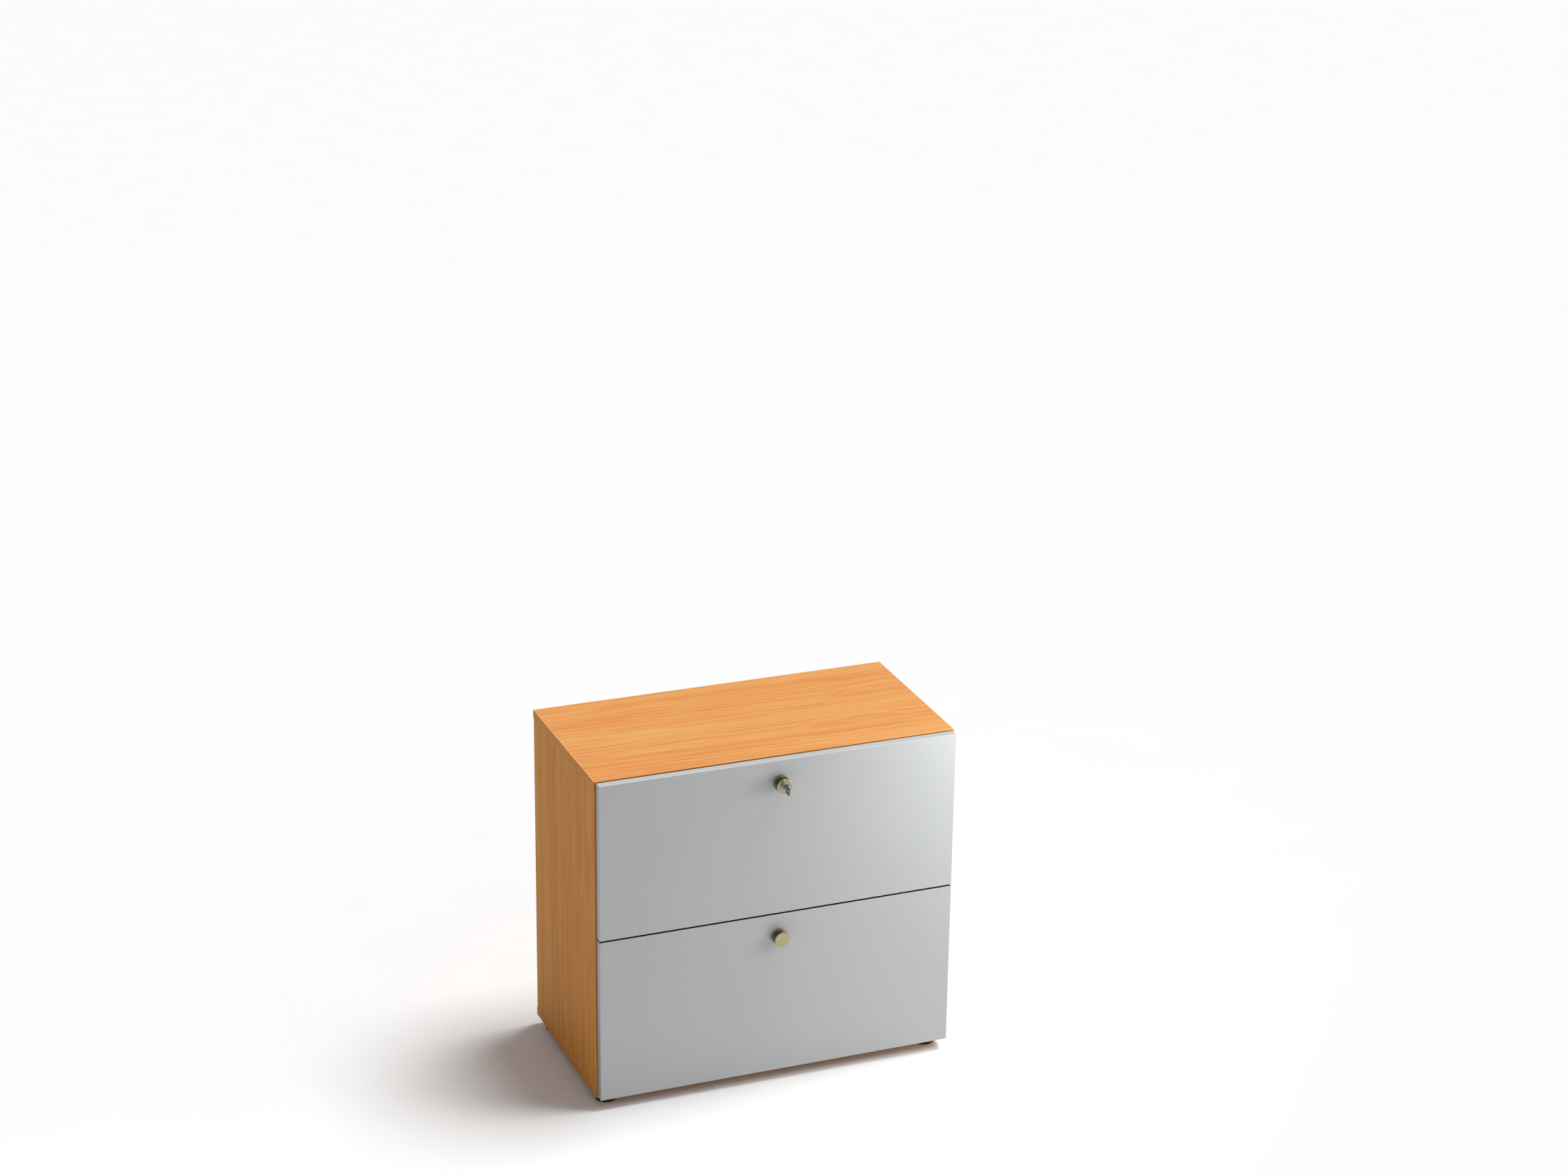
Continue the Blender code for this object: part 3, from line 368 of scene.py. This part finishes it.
def settle_normals(thing):
    """Shade large flat faces flat, and let the small rounded ones blend into them."""
    weighted = thing.modifiers.new("Weighted", "WEIGHTED_NORMAL")
    weighted.weight = 100
    weighted.keep_sharp = True


def applied(thing):
    """Make a piece's modifiers part of its mesh."""
    graph = bpy.context.evaluated_depsgraph_get()
    result = bpy.data.meshes.new_from_object(thing.evaluated_get(graph))
    thing.modifiers.clear()
    thing.data = result


def part(name, shape, materials, body):
    """A new piece of the object, riding on a body."""
    mesh = bpy.data.meshes.new(name)
    shape.to_mesh(mesh)
    shape.free()
    for material in materials:
        mesh.materials.append(material)
    mesh.shade_smooth()
    mesh.set_sharp_from_angle(angle=math.radians(SHARP_ANGLE))
    thing = placed(name, mesh)
    settle_normals(thing)
    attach(thing, body)
    return thing


def lathe(profile, steps, place, direction):
    """A turned shape on an axis from place along direction. Each profile point is a radius,
    a height and the finish of the ring that leads to it; radius 0 closes an end."""
    shape = bmesh.new()
    rings = []
    for radius, height, finish in profile:
        count = steps if radius else 1
        angles = [2 * math.pi * i / count for i in range(count)]
        ring = [shape.verts.new((radius * math.cos(a), radius * math.sin(a), height))
                for a in angles]
        rings.append((ring, finish))
    pairs = list(zip(rings, rings[1:]))
    if profile[0][0] and profile[-1][0]:
        pairs.append((rings[-1], rings[0]))
    for (upper, _), (lower, finish) in pairs:
        for i in range(steps):
            j = (i + 1) % steps
            corners = [upper[i % len(upper)], lower[i % len(lower)],
                       lower[j % len(lower)], upper[j % len(upper)]]
            face = shape.faces.new(list(dict.fromkeys(corners)))
            face.material_index = finish
    bmesh.ops.recalc_face_normals(shape, faces=shape.faces)
    turn = Vector(direction).to_track_quat("Z", "Y").to_matrix().to_4x4()
    shape.transform(Matrix.Translation(place) @ turn)
    return shape


def block(low, high, rounding=0.0):
    """A box between two corners, with rounded edges."""
    low, high = Vector(low), Vector(high)
    shape = bmesh.new()
    bmesh.ops.create_cube(shape, size=1, matrix=Matrix.Translation((low + high) / 2)
                          @ Matrix.Diagonal((*(high - low), 1)))
    if rounding:
        bmesh.ops.bevel(shape, geom=shape.edges[:], offset=rounding, segments=ROUND_STEPS,
                        profile=0.5, affect="EDGES")
    return shape


def cut(thing, shape):
    """Take a shape away from a piece for good."""
    mesh = bpy.data.meshes.new("tool")
    shape.to_mesh(mesh)
    shape.free()
    tool = placed("tool", mesh)
    thing.modifiers.clear()
    modifier = thing.modifiers.new("Cut", "BOOLEAN")
    modifier.operation = "DIFFERENCE"
    modifier.solver = "EXACT"
    modifier.object = tool
    applied(thing)
    bpy.data.objects.remove(tool)
    bpy.data.meshes.remove(mesh)
    thing.data.set_sharp_from_angle(angle=math.radians(SHARP_ANGLE))
    settle_normals(thing)


def joined(shapes):
    """Several shapes in one mesh."""
    whole = bmesh.new()
    for shape in shapes:
        single = bpy.data.meshes.new("single")
        shape.to_mesh(single)
        shape.free()
        whole.from_mesh(single)
        bpy.data.meshes.remove(single)
    return whole


def arc(centre, radius, start, end, steps=8):
    """Points on an arc between two angles in degrees."""
    angles = [math.radians(start + (end - start) * i / steps) for i in range(steps + 1)]
    return [(centre[0] + radius * math.cos(a), centre[1] + radius * math.sin(a)) for a in angles]


# The materials of the whole object
TOP_TONES = (paint(223, 138, 76), paint(227, 150, 86), paint(229, 162, 97), paint(231, 174, 108))
# Lighter tones on the edge bands' rims: a painted highlight where the rounded edges catch the
# light.
HIGHLIGHT_RIM_TONES = (paint(232, 158, 98), paint(236, 168, 108), paint(239, 177, 117), paint(242, 185, 126))
# Darker tones for the sides, the back and the panels' ends: painted shade, the same beech as the
# top darkened for its place away from the light.
SHADED_BEECH_TONES = (paint(199, 124, 50), paint(202, 132, 59), paint(203, 140, 68), paint(204, 148, 78))
# Darker still for the front and rear edge bands: partly the band's own tone, partly painted shade
# of the gap beside the fronts.
EDGE_BAND_AND_SHADE_TONES = (paint(168, 106, 50), paint(174, 113, 55), paint(178, 120, 60), paint(182, 127, 66))
LOOKS = {
    "top": beech("beech_top", (0, 0, 0), (0.0, 0.06, -0.70), TOP_TONES),
    "rim": beech("beech_rim_painted_highlight", (0, 0, 0), (0.3, 0.2, -0.4), HIGHLIGHT_RIM_TONES),
    "side": beech("beech_side", (0, 90, 0), (0.2, 0.13, 0.31), SHADED_BEECH_TONES, 0.25),
    "back": beech("beech_back", (0, 90, 0), (0.5, 0.4, 0.1), SHADED_BEECH_TONES),
    "edge": beech("beech_edge", (0, 0, 0), (0.3, 0.2, -0.4), EDGE_BAND_AND_SHADE_TONES),
    "end_edge": beech("beech_end_edge", (0, 0, 90), (0.3, 0.2, -0.4), SHADED_BEECH_TONES),
    "side_edge": beech("beech_side_edge", (0, 90, 0), (0.1, 0.2, -0.4), EDGE_BAND_AND_SHADE_TONES),
    "silver": silver("silver_laminate", paint(173, 175, 176), paint(180, 182, 182)),
    # A lighter copy of the silver on the fronts' top and bottom edges: painted highlight.
    "painted_highlight_silver_edge": silver("painted_highlight_silver_edge", paint(199, 202, 201), paint(206, 209, 208)),
    # A darker copy of the silver on the fronts' side edges: painted shade.
    "painted_shade_grey_edge": silver("painted_shade_grey_edge", paint(156, 159, 161), paint(163, 166, 168)),
    # Near black on the edges that face the other front: painted shade of the gap between the
    # fronts.
    "painted_shade_gap_edge": silver("painted_shade_gap_edge", paint(22, 23, 24), paint(28, 29, 30)),
    "brass": turned_metal("champagne_brass", paint(163, 151, 118), paint(174, 162, 128), 0.24),
    "enamel": enamel("black_enamel"),
    "nickel": worn_steel("nickel_plate", paint(168, 166, 162), paint(196, 195, 192), 0.2,
                         (700, 90, 700)),
    "key": worn_steel("key_steel", paint(112, 112, 116), paint(146, 146, 150), 0.28,
                      (400, 60, 900)),
    "zinc": worn_steel("zinc_plate", paint(176, 180, 184), paint(206, 209, 212), 0.28,
                       (120, 14, 900)),
    "powder": powder_coat("frame_powder_coat"),
    "plastic": moulded("black_plastic", paint(24, 24, 25), paint(34, 34, 35)),
    "buffer": moulded("clear_buffer", paint(206, 208, 205), paint(222, 224, 221)),
    "cap": moulded("beech_cap", paint(196, 132, 76), paint(206, 142, 84)),
}
# Beech laminate nodes take the sides' look with its painted shade; beech edging nodes take the
# edge band look, partly painted shade.
SLOT_LOOKS = {"beech_laminate": "side", "beech_edging": "edge", "silver_laminate": "silver",
              "champagne_brass": "brass", "nickel": "nickel", "key_steel": "key",
              "zinc_steel": "zinc", "frame_grey": "powder", "black_plastic": "plastic"}


def dress_nodes():
    """Every CAD node gets the material of its slot, and the boards their own grain."""
    for row in frame["record"]["subparts"]:
        dress(row["node"], LOOKS[SLOT_LOOKS[row["material_slot"]]])
    dress("top_panel", LOOKS["top"])
    dress("bottom_panel", LOOKS["top"])
    dress("back_panel", LOOKS["back"])


def side_board(side):
    """A side panel with slightly rounded edges and the back panel's groove, in two looks: its
    faces, in beech darkened as painted shade, and its edge band at the front and the rear, darker
    still, partly its own band tone and partly painted shade of the gap beside the fronts."""
    node = f"{side}_side_panel"
    low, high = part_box(node)
    shape = block(low, high, BOARD_ROUND)
    for face in shape.faces:
        # The front and rear faces take the darker edge band tone, partly painted shade of the gap
        # beside the fronts.
        face.material_index = int(abs(face.normal.y) > BAND_FACING)
    made = part(f"{side}_side_board", shape, [LOOKS["side"], LOOKS["side_edge"]], "cabinet")
    groove_low, groove_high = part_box("back_panel")
    cut(made, block(groove_low - GROOVE_ROOM, groove_high + GROOVE_ROOM))
    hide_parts(node)


def edging(name):
    """The edge band round a horizontal panel, glued to its core with no gap, in three looks:
    front and rear, in a darker band tone that is partly painted shade of the gap beside the
    fronts;
    ends, in the sides' beech with its painted shade; and the rims above and below, lighter as a
    painted highlight."""
    low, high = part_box(f"{name}_edging")
    core_low, core_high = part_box(f"{name}_panel")
    shape = block(low, high, BAND_ROUND)
    for face in shape.faces:
        # Faces above and below take the painted highlight of the rim look; the ends take the
        # sides' painted shade.
        if abs(face.normal.z) > HIGHLIGHT_RIM_FACING:
            face.material_index = 2
        else:
            face.material_index = int(abs(face.normal.x) > FACING)
    band = part(f"{name}_edge_band", shape, [LOOKS["edge"], LOOKS["end_edge"], LOOKS["rim"]],
                "cabinet")
    past = Vector((0, 0, high.z - low.z))
    cut(band, block(core_low - past, core_high + past))
    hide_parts(f"{name}_edging")


def drawer_front(name):
    """A silver front with the bore for its knob. Its edge band carries painted light: lighter
    above and below as a painted highlight, greyer at the sides as painted shade, and near black
    where it faces the other front as painted shade of the gap."""
    node = f"{name}_drawer_front"
    low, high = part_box(node)
    shape = block(low, high, FRONT_ROUND)
    towards_gap = 1 if name == "lower" else -1
    # Faces towards the other front get near black painted shade, the sides painted shade, top and
    # bottom a painted highlight.
    for face in shape.faces:
        if face.normal.z * towards_gap > FACING:
            face.material_index = 3
        elif abs(face.normal.x) > FACING:
            face.material_index = 2
        else:
            face.material_index = int(abs(face.normal.z) > FACING)
    front = part(f"{name}_front_board", shape,
                 [LOOKS[look] for look in ("silver", "painted_highlight_silver_edge", "painted_shade_grey_edge", "painted_shade_gap_edge")],
                 f"{name}_drawer")
    inner, bore = (("lock_cylinder", LOCK_BORE) if name == "upper"
                   else ("plain_knob_screw", SCREW_BORE))
    inner_low, inner_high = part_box(inner)
    centre = (inner_low + inner_high) / 2
    reach = high.y - low.y
    cut(front, lathe([(0, reach, 0), (bore, reach, 0), (bore, -reach, 0), (0, -reach, 0)],
                     KNOB_STEPS, (centre.x, (low.y + high.y) / 2, centre.z), (0, -1, 0)))
    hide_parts(node)


def knob(node, body):
    """A turned brass knob: a base, black grooves with thin rings between, and a rimmed face."""
    low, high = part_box(node)
    radius = (high.x - low.x) / 2
    length = high.y - low.y
    brass, black = 0, 1
    open_bore = node == "lock_knob"
    bore = LOCK_BORE if open_bore else SCREW_BORE
    lands = KNOB_BASE + KNOB_FACE + KNOB_RING * (KNOB_GROOVES - 1)
    groove = (length - lands) / KNOB_GROOVES
    floor = radius - KNOB_GROOVE_DEPTH
    profile = [(radius - KNOB_RIM, length, brass),
               (radius - KNOB_RIM / 3, length - KNOB_RIM / 3, brass),
               (radius, length - KNOB_RIM, brass)]
    for i in reversed(range(KNOB_GROOVES)):
        bottom = KNOB_BASE + (groove + KNOB_RING) * i
        top = bottom + groove
        profile += [(radius, top + KNOB_LIP, brass), (radius - KNOB_LIP, top, brass),
                    (floor, top - KNOB_LIP, black), (floor, bottom + KNOB_LIP, black),
                    (radius - KNOB_LIP, bottom, black), (radius, bottom - KNOB_LIP, brass)]
    profile += [(radius, KNOB_LIP, brass), (radius - KNOB_LIP, 0, brass), (bore, 0, brass)]
    if open_bore:
        profile += [(bore, length, brass)]
    else:
        dish = [(radius * across, length - KNOB_DISH * deep, brass)
                for across, deep in KNOB_DISH_FORM]
        profile = dish + profile + [(bore, KNOB_SOCKET, brass), (0, KNOB_SOCKET, brass)]
    place = ((low.x + high.x) / 2, high.y, (low.z + high.z) / 2)
    made = part(f"{node}_turned", lathe(profile, KNOB_STEPS, place, (0, -1, 0)),
                [LOOKS["brass"], LOOKS["enamel"]], body)
    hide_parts(node)


def lock():
    """The lock's cylinder and its plug with the keyway."""
    low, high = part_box("lock_cylinder")
    plug_low, plug_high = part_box("lock_plug")
    radius = (high.x - low.x) / 2
    plug = (plug_high.x - plug_low.x) / 2
    length = high.y - low.y
    z = (low.z + high.z) / 2
    bore = plug + PLUG_CLEARANCE
    profile = [(bore, 0, 0), (bore, length - CYLINDER_CHAMFER, 0),
               (bore + CYLINDER_CHAMFER, length, 0),
               (radius - CYLINDER_CHAMFER, length, 0), (radius, length - CYLINDER_CHAMFER, 0),
               (radius, 0, 0)]
    made = part("lock_cylinder_turned", lathe(profile, KNOB_STEPS, (0, high.y, z), (0, -1, 0)),
                [LOOKS["nickel"]], "upper_drawer")
    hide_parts("lock_cylinder")

    length = plug_high.y - plug_low.y
    tail, tail_length = PLUG_TAIL
    profile = [(0, length, 0), (plug - CYLINDER_CHAMFER, length, 0),
               (plug, length - CYLINDER_CHAMFER, 0), (plug, tail_length, 0),
               (tail, tail_length, 0), (tail, 0, 0), (0, 0, 0)]
    made = part("lock_plug_turned", lathe(profile, KNOB_STEPS, (0, plug_high.y, z), (0, -1, 0)),
                [LOOKS["nickel"]], "lock_plug")
    across, up = KEYWAY[0] / 2, KEYWAY[1] / 2
    cut(made, block((-across, plug_low.y - KEYWAY_DEPTH, z - up),
                    (across, plug_low.y + KEYWAY_DEPTH + PLUG_CLEARANCE, z + up)))
    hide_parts("lock_plug")


def key():
    """The flat key, with chamfered edges, its hole and its cuts."""
    low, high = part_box("key")
    z = (low.z + high.z) / 2
    tip, end = high.y, low.y
    half, bow = KEY_SHANK / 2, KEY_BOW / 2
    rear = end + KEY_BOW
    near, far = rear - KEY_BOW_ROUND, end + KEY_BOW_ROUND
    edge = bow - KEY_BOW_ROUND
    outline = [(tip, half - KEY_NOTCH), (tip, -half + KEY_NOTCH), (tip - KEY_NOTCH, -half)]
    step = (tip - rear - KEY_NECK_LENGTH) / (KEY_NOTCHES + 1)
    for i in range(1, KEY_NOTCHES + 1):
        middle = tip - step * i
        deep = KEY_NOTCH if i % 2 else KEY_NOTCH * KEY_SHALLOW_NOTCH
        floor = deep * KEY_NOTCH_FLOOR
        outline += [(middle + deep, -half), (middle + floor, -half + deep),
                    (middle - floor, -half + deep), (middle - deep, -half)]
    outline.append((rear, -half))
    outline += arc((near, -edge), KEY_BOW_ROUND, 0, -90)
    outline += arc((far, -edge), KEY_BOW_ROUND, -90, -180)
    outline += arc((far, edge), KEY_BOW_ROUND, 180, 90)
    outline += arc((near, edge), KEY_BOW_ROUND, 90, 0)
    outline += [(rear, half), (tip - KEY_NOTCH, half)]
    hole = arc((far, 0), KEY_HOLE_RADIUS, 0, 360, KEY_HOLE_STEPS)[:-1]

    flat = bpy.data.curves.new("key_outline", "CURVE")
    flat.dimensions = "2D"
    flat.fill_mode = "BOTH"
    flat.extrude = (high.x - low.x) / 2 - KEY_CHAMFER
    flat.bevel_depth = KEY_CHAMFER
    flat.bevel_resolution = 2
    flat.offset = -KEY_CHAMFER
    for loop in (outline, hole):
        spline = flat.splines.new("POLY")
        spline.points.add(len(loop) - 1)
        for point, (y, up) in zip(spline.points, loop):
            point.co = (y, up, 0, 1)
        spline.use_cyclic_u = True
    drawn = placed("key_outline", flat)
    graph = bpy.context.evaluated_depsgraph_get()
    mesh = bpy.data.meshes.new_from_object(drawn.evaluated_get(graph))
    shape = bmesh.new()
    shape.from_mesh(mesh)
    bmesh.ops.remove_doubles(shape, verts=shape.verts, dist=MERGE_DISTANCE)
    bmesh.ops.recalc_face_normals(shape, faces=shape.faces)
    upright = Matrix(((0, 0, 1), (1, 0, 0), (0, 1, 0))).to_4x4()
    shape.transform(Matrix.Translation((0, 0, z)) @ upright)
    bpy.data.objects.remove(drawn)
    bpy.data.curves.remove(flat)
    bpy.data.meshes.remove(mesh)
    made = part("key_milled", shape, [LOOKS["key"]], "key")
    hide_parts("key")


def foot(node):
    """A levelling foot: a moulded pad on a threaded stud."""
    low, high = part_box(node)
    middle = (low + high) / 2
    radius = (high.x - low.x) / 2
    length = high.z - low.z
    plastic, steel = 0, 1
    root = FOOT_STUD - THREAD_DEPTH
    profile = [(0, length, steel), (root, length, steel)]
    turns = int((length - FOOT_PAD - THREAD_PITCH) / THREAD_PITCH)
    for turn in range(1, turns + 1):
        crest = length - THREAD_PITCH * turn
        profile += [(FOOT_STUD, crest, steel), (root, crest - THREAD_PITCH / 2, steel)]
    sole = FOOT_SOLE_ROUND * ROUND_MIDDLE
    profile += [(root, FOOT_PAD, steel), (FOOT_SHOULDER - FOOT_SOLE_ROUND, FOOT_PAD, plastic),
                (FOOT_SHOULDER, FOOT_PAD - FOOT_ROUND, plastic),
                (radius - FOOT_ROUND, FOOT_RIM + FOOT_RIM_SWELL, plastic),
                (radius, FOOT_RIM - FOOT_ROUND, plastic), (radius, FOOT_SOLE_ROUND, plastic),
                (radius - sole, sole, plastic), (radius - FOOT_SOLE_ROUND, 0, plastic),
                (0, 0, plastic)]
    place = (middle.x, middle.y, low.z)
    made = part(f"{node}_moulded", lathe(profile, FOOT_STEPS, place, (0, 0, 1)),
                [LOOKS["plastic"], LOOKS["zinc"]], node)
    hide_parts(node)


def fitting(form, radius, height, place, direction):
    """A low turned fitting that lies on a face."""
    profile = [(radius * across, height * up, 0) for across, up in form]
    return lathe(profile, FITTING_STEPS, place, direction)


def rail_screws():
    """Screws that hold the slides' outer members to the side panels."""
    for drawer in DRAWERS:
        for side, sign in SIDES.items():
            low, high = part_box(f"{drawer}_{side}_cabinet_rail")
            x = sign * (max(abs(low.x), abs(high.x)) - RAIL_WALL)
            z = (low.z + high.z) / 2
            along = ([low.y + y for y in SCREWS_FROM_FRONT]
                     + [high.y - y for y in SCREWS_FROM_REAR])
            heads = [fitting(SCREW_FORM, SCREW_RADIUS, SCREW_HEIGHT, (x, y, z), (-sign, 0, 0))
                     for y in along]
            part(f"{drawer}_{side}_rail_screws", joined(heads), [LOOKS["zinc"]], "cabinet")


def buffers():
    """Soft buffers behind the fronts' corners."""
    for drawer in DRAWERS:
        low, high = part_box(f"{drawer}_drawer_front")
        shapes = []
        for x in (low.x + BUFFER_FROM_SIDE, high.x - BUFFER_FROM_SIDE):
            for z in (low.z + BUFFER_FROM_END, high.z - BUFFER_FROM_END):
                shapes.append(fitting(BUFFER_FORM, BUFFER_RADIUS, BUFFER_HEIGHT,
                                      (x, high.y, z), (0, 1, 0)))
        part(f"{drawer}_front_buffers", joined(shapes), [LOOKS["buffer"]], f"{drawer}_drawer")


def fitting_caps():
    """Caps over the cam fittings inside the side panels."""
    for side, sign in SIDES.items():
        low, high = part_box(f"{side}_side_panel")
        x = sign * min(abs(low.x), abs(high.x))
        shapes = []
        for y in (low.y + CAP_FROM_FRONT, high.y - CAP_FROM_REAR):
            for z in (low.z + CAP_FROM_END, high.z - CAP_FROM_END):
                shapes.append(fitting(CAP_FORM, CAP_RADIUS, CAP_HEIGHT, (x, y, z), (-sign, 0, 0)))
        part(f"{side}_fitting_caps", joined(shapes), [LOOKS["cap"]], "cabinet")


# The studio

def camera():
    """The photograph's viewpoint."""
    flat, rise = math.cos(CAMERA_PITCH), -math.sin(CAMERA_PITCH)
    ahead = Vector((math.sin(CAMERA_YAW) * flat, math.cos(CAMERA_YAW) * flat, rise))
    right = Vector((math.cos(CAMERA_YAW), -math.sin(CAMERA_YAW), 0))
    up = right.cross(ahead)
    cos_roll, sin_roll = math.cos(CAMERA_ROLL), math.sin(CAMERA_ROLL)
    across = right * cos_roll + up * sin_roll
    over = up * cos_roll - right * sin_roll
    data = bpy.data.cameras.new("camera")
    data.lens = CAMERA_LENS
    data.sensor_width = CAMERA_SENSOR
    data.sensor_fit = "HORIZONTAL"
    data.clip_end = CAMERA_CLIP
    thing = placed("camera", data)
    turn = Matrix((across, over, -ahead)).transposed().to_4x4()
    thing.matrix_world = Matrix.Translation(CAMERA_PLACE) @ turn
    bpy.context.scene.camera = thing


def light(name, place, target, size, power):
    """A square soft light aimed at a point."""
    data = bpy.data.lights.new(name, "AREA")
    data.size = size
    data.energy = power
    thing = placed(name, data)
    aim = (Vector(target) - Vector(place)).to_track_quat("-Z", "Y")
    thing.matrix_world = Matrix.Translation(place) @ aim.to_matrix().to_4x4()


def studio():
    """A pale floor, soft light from the upper right, and a sky that the camera sees as a white
    backdrop but that lights the object less."""
    shape = bmesh.new()
    bmesh.ops.create_grid(shape, x_segments=1, y_segments=1, size=FLOOR_REACH)
    mesh = bpy.data.meshes.new("floor")
    shape.to_mesh(mesh)
    shape.free()
    look = Look("floor_paper")
    paper = look.noise(look.place, (6, 6, 6), 2)
    colour = look.ramp(paper, [(0.3, paint(246, 246, 246)), (0.7, paint(247, 247, 247))])
    mesh.materials.append(look.finish(Base_Color=colour, Roughness=0.9))
    floor = placed("floor", mesh)

    world = bpy.data.worlds.new("studio")
    world.use_nodes = True
    sky = world.node_tree.nodes["Background"]
    sky.inputs["Color"].default_value = (1, 1, 1, 1)
    shown = world.node_tree.nodes.new("ShaderNodeMapRange")
    shown.inputs["To Min"].default_value = SKY_STRENGTH
    shown.inputs["To Max"].default_value = BACKDROP_STRENGTH
    ray = world.node_tree.nodes.new("ShaderNodeLightPath")
    world.node_tree.links.new(ray.outputs["Is Camera Ray"], shown.inputs["Value"])
    world.node_tree.links.new(shown.outputs["Result"], sky.inputs["Strength"])
    bpy.context.scene.world = world

    sun = bpy.data.lights.new("high_light", "SUN")
    sun.energy = SUN_STRENGTH
    sun.angle = math.radians(SUN_ANGLE)
    high = placed("high_light", sun)
    high.matrix_world = (-SUN_FROM).to_track_quat("-Z", "Y").to_matrix().to_4x4()
    light("softbox", SOFTBOX_PLACE, SOFTBOX_AIM, SOFTBOX_SIZE, SOFTBOX_POWER)
    bpy.context.scene.view_settings.view_transform = "Standard"


dress_nodes()
for side in SIDES:
    side_board(side)
for level in ("top", "bottom"):
    edging(level)
for drawer in DRAWERS:
    drawer_front(drawer)
knob("lock_knob", "upper_drawer")
knob("plain_knob", "lower_drawer")
lock()
key()
for body in frame["bodies"]:
    if body.endswith("_foot"):
        foot(body)
rail_screws()
buffers()
fitting_caps()
camera()
studio()
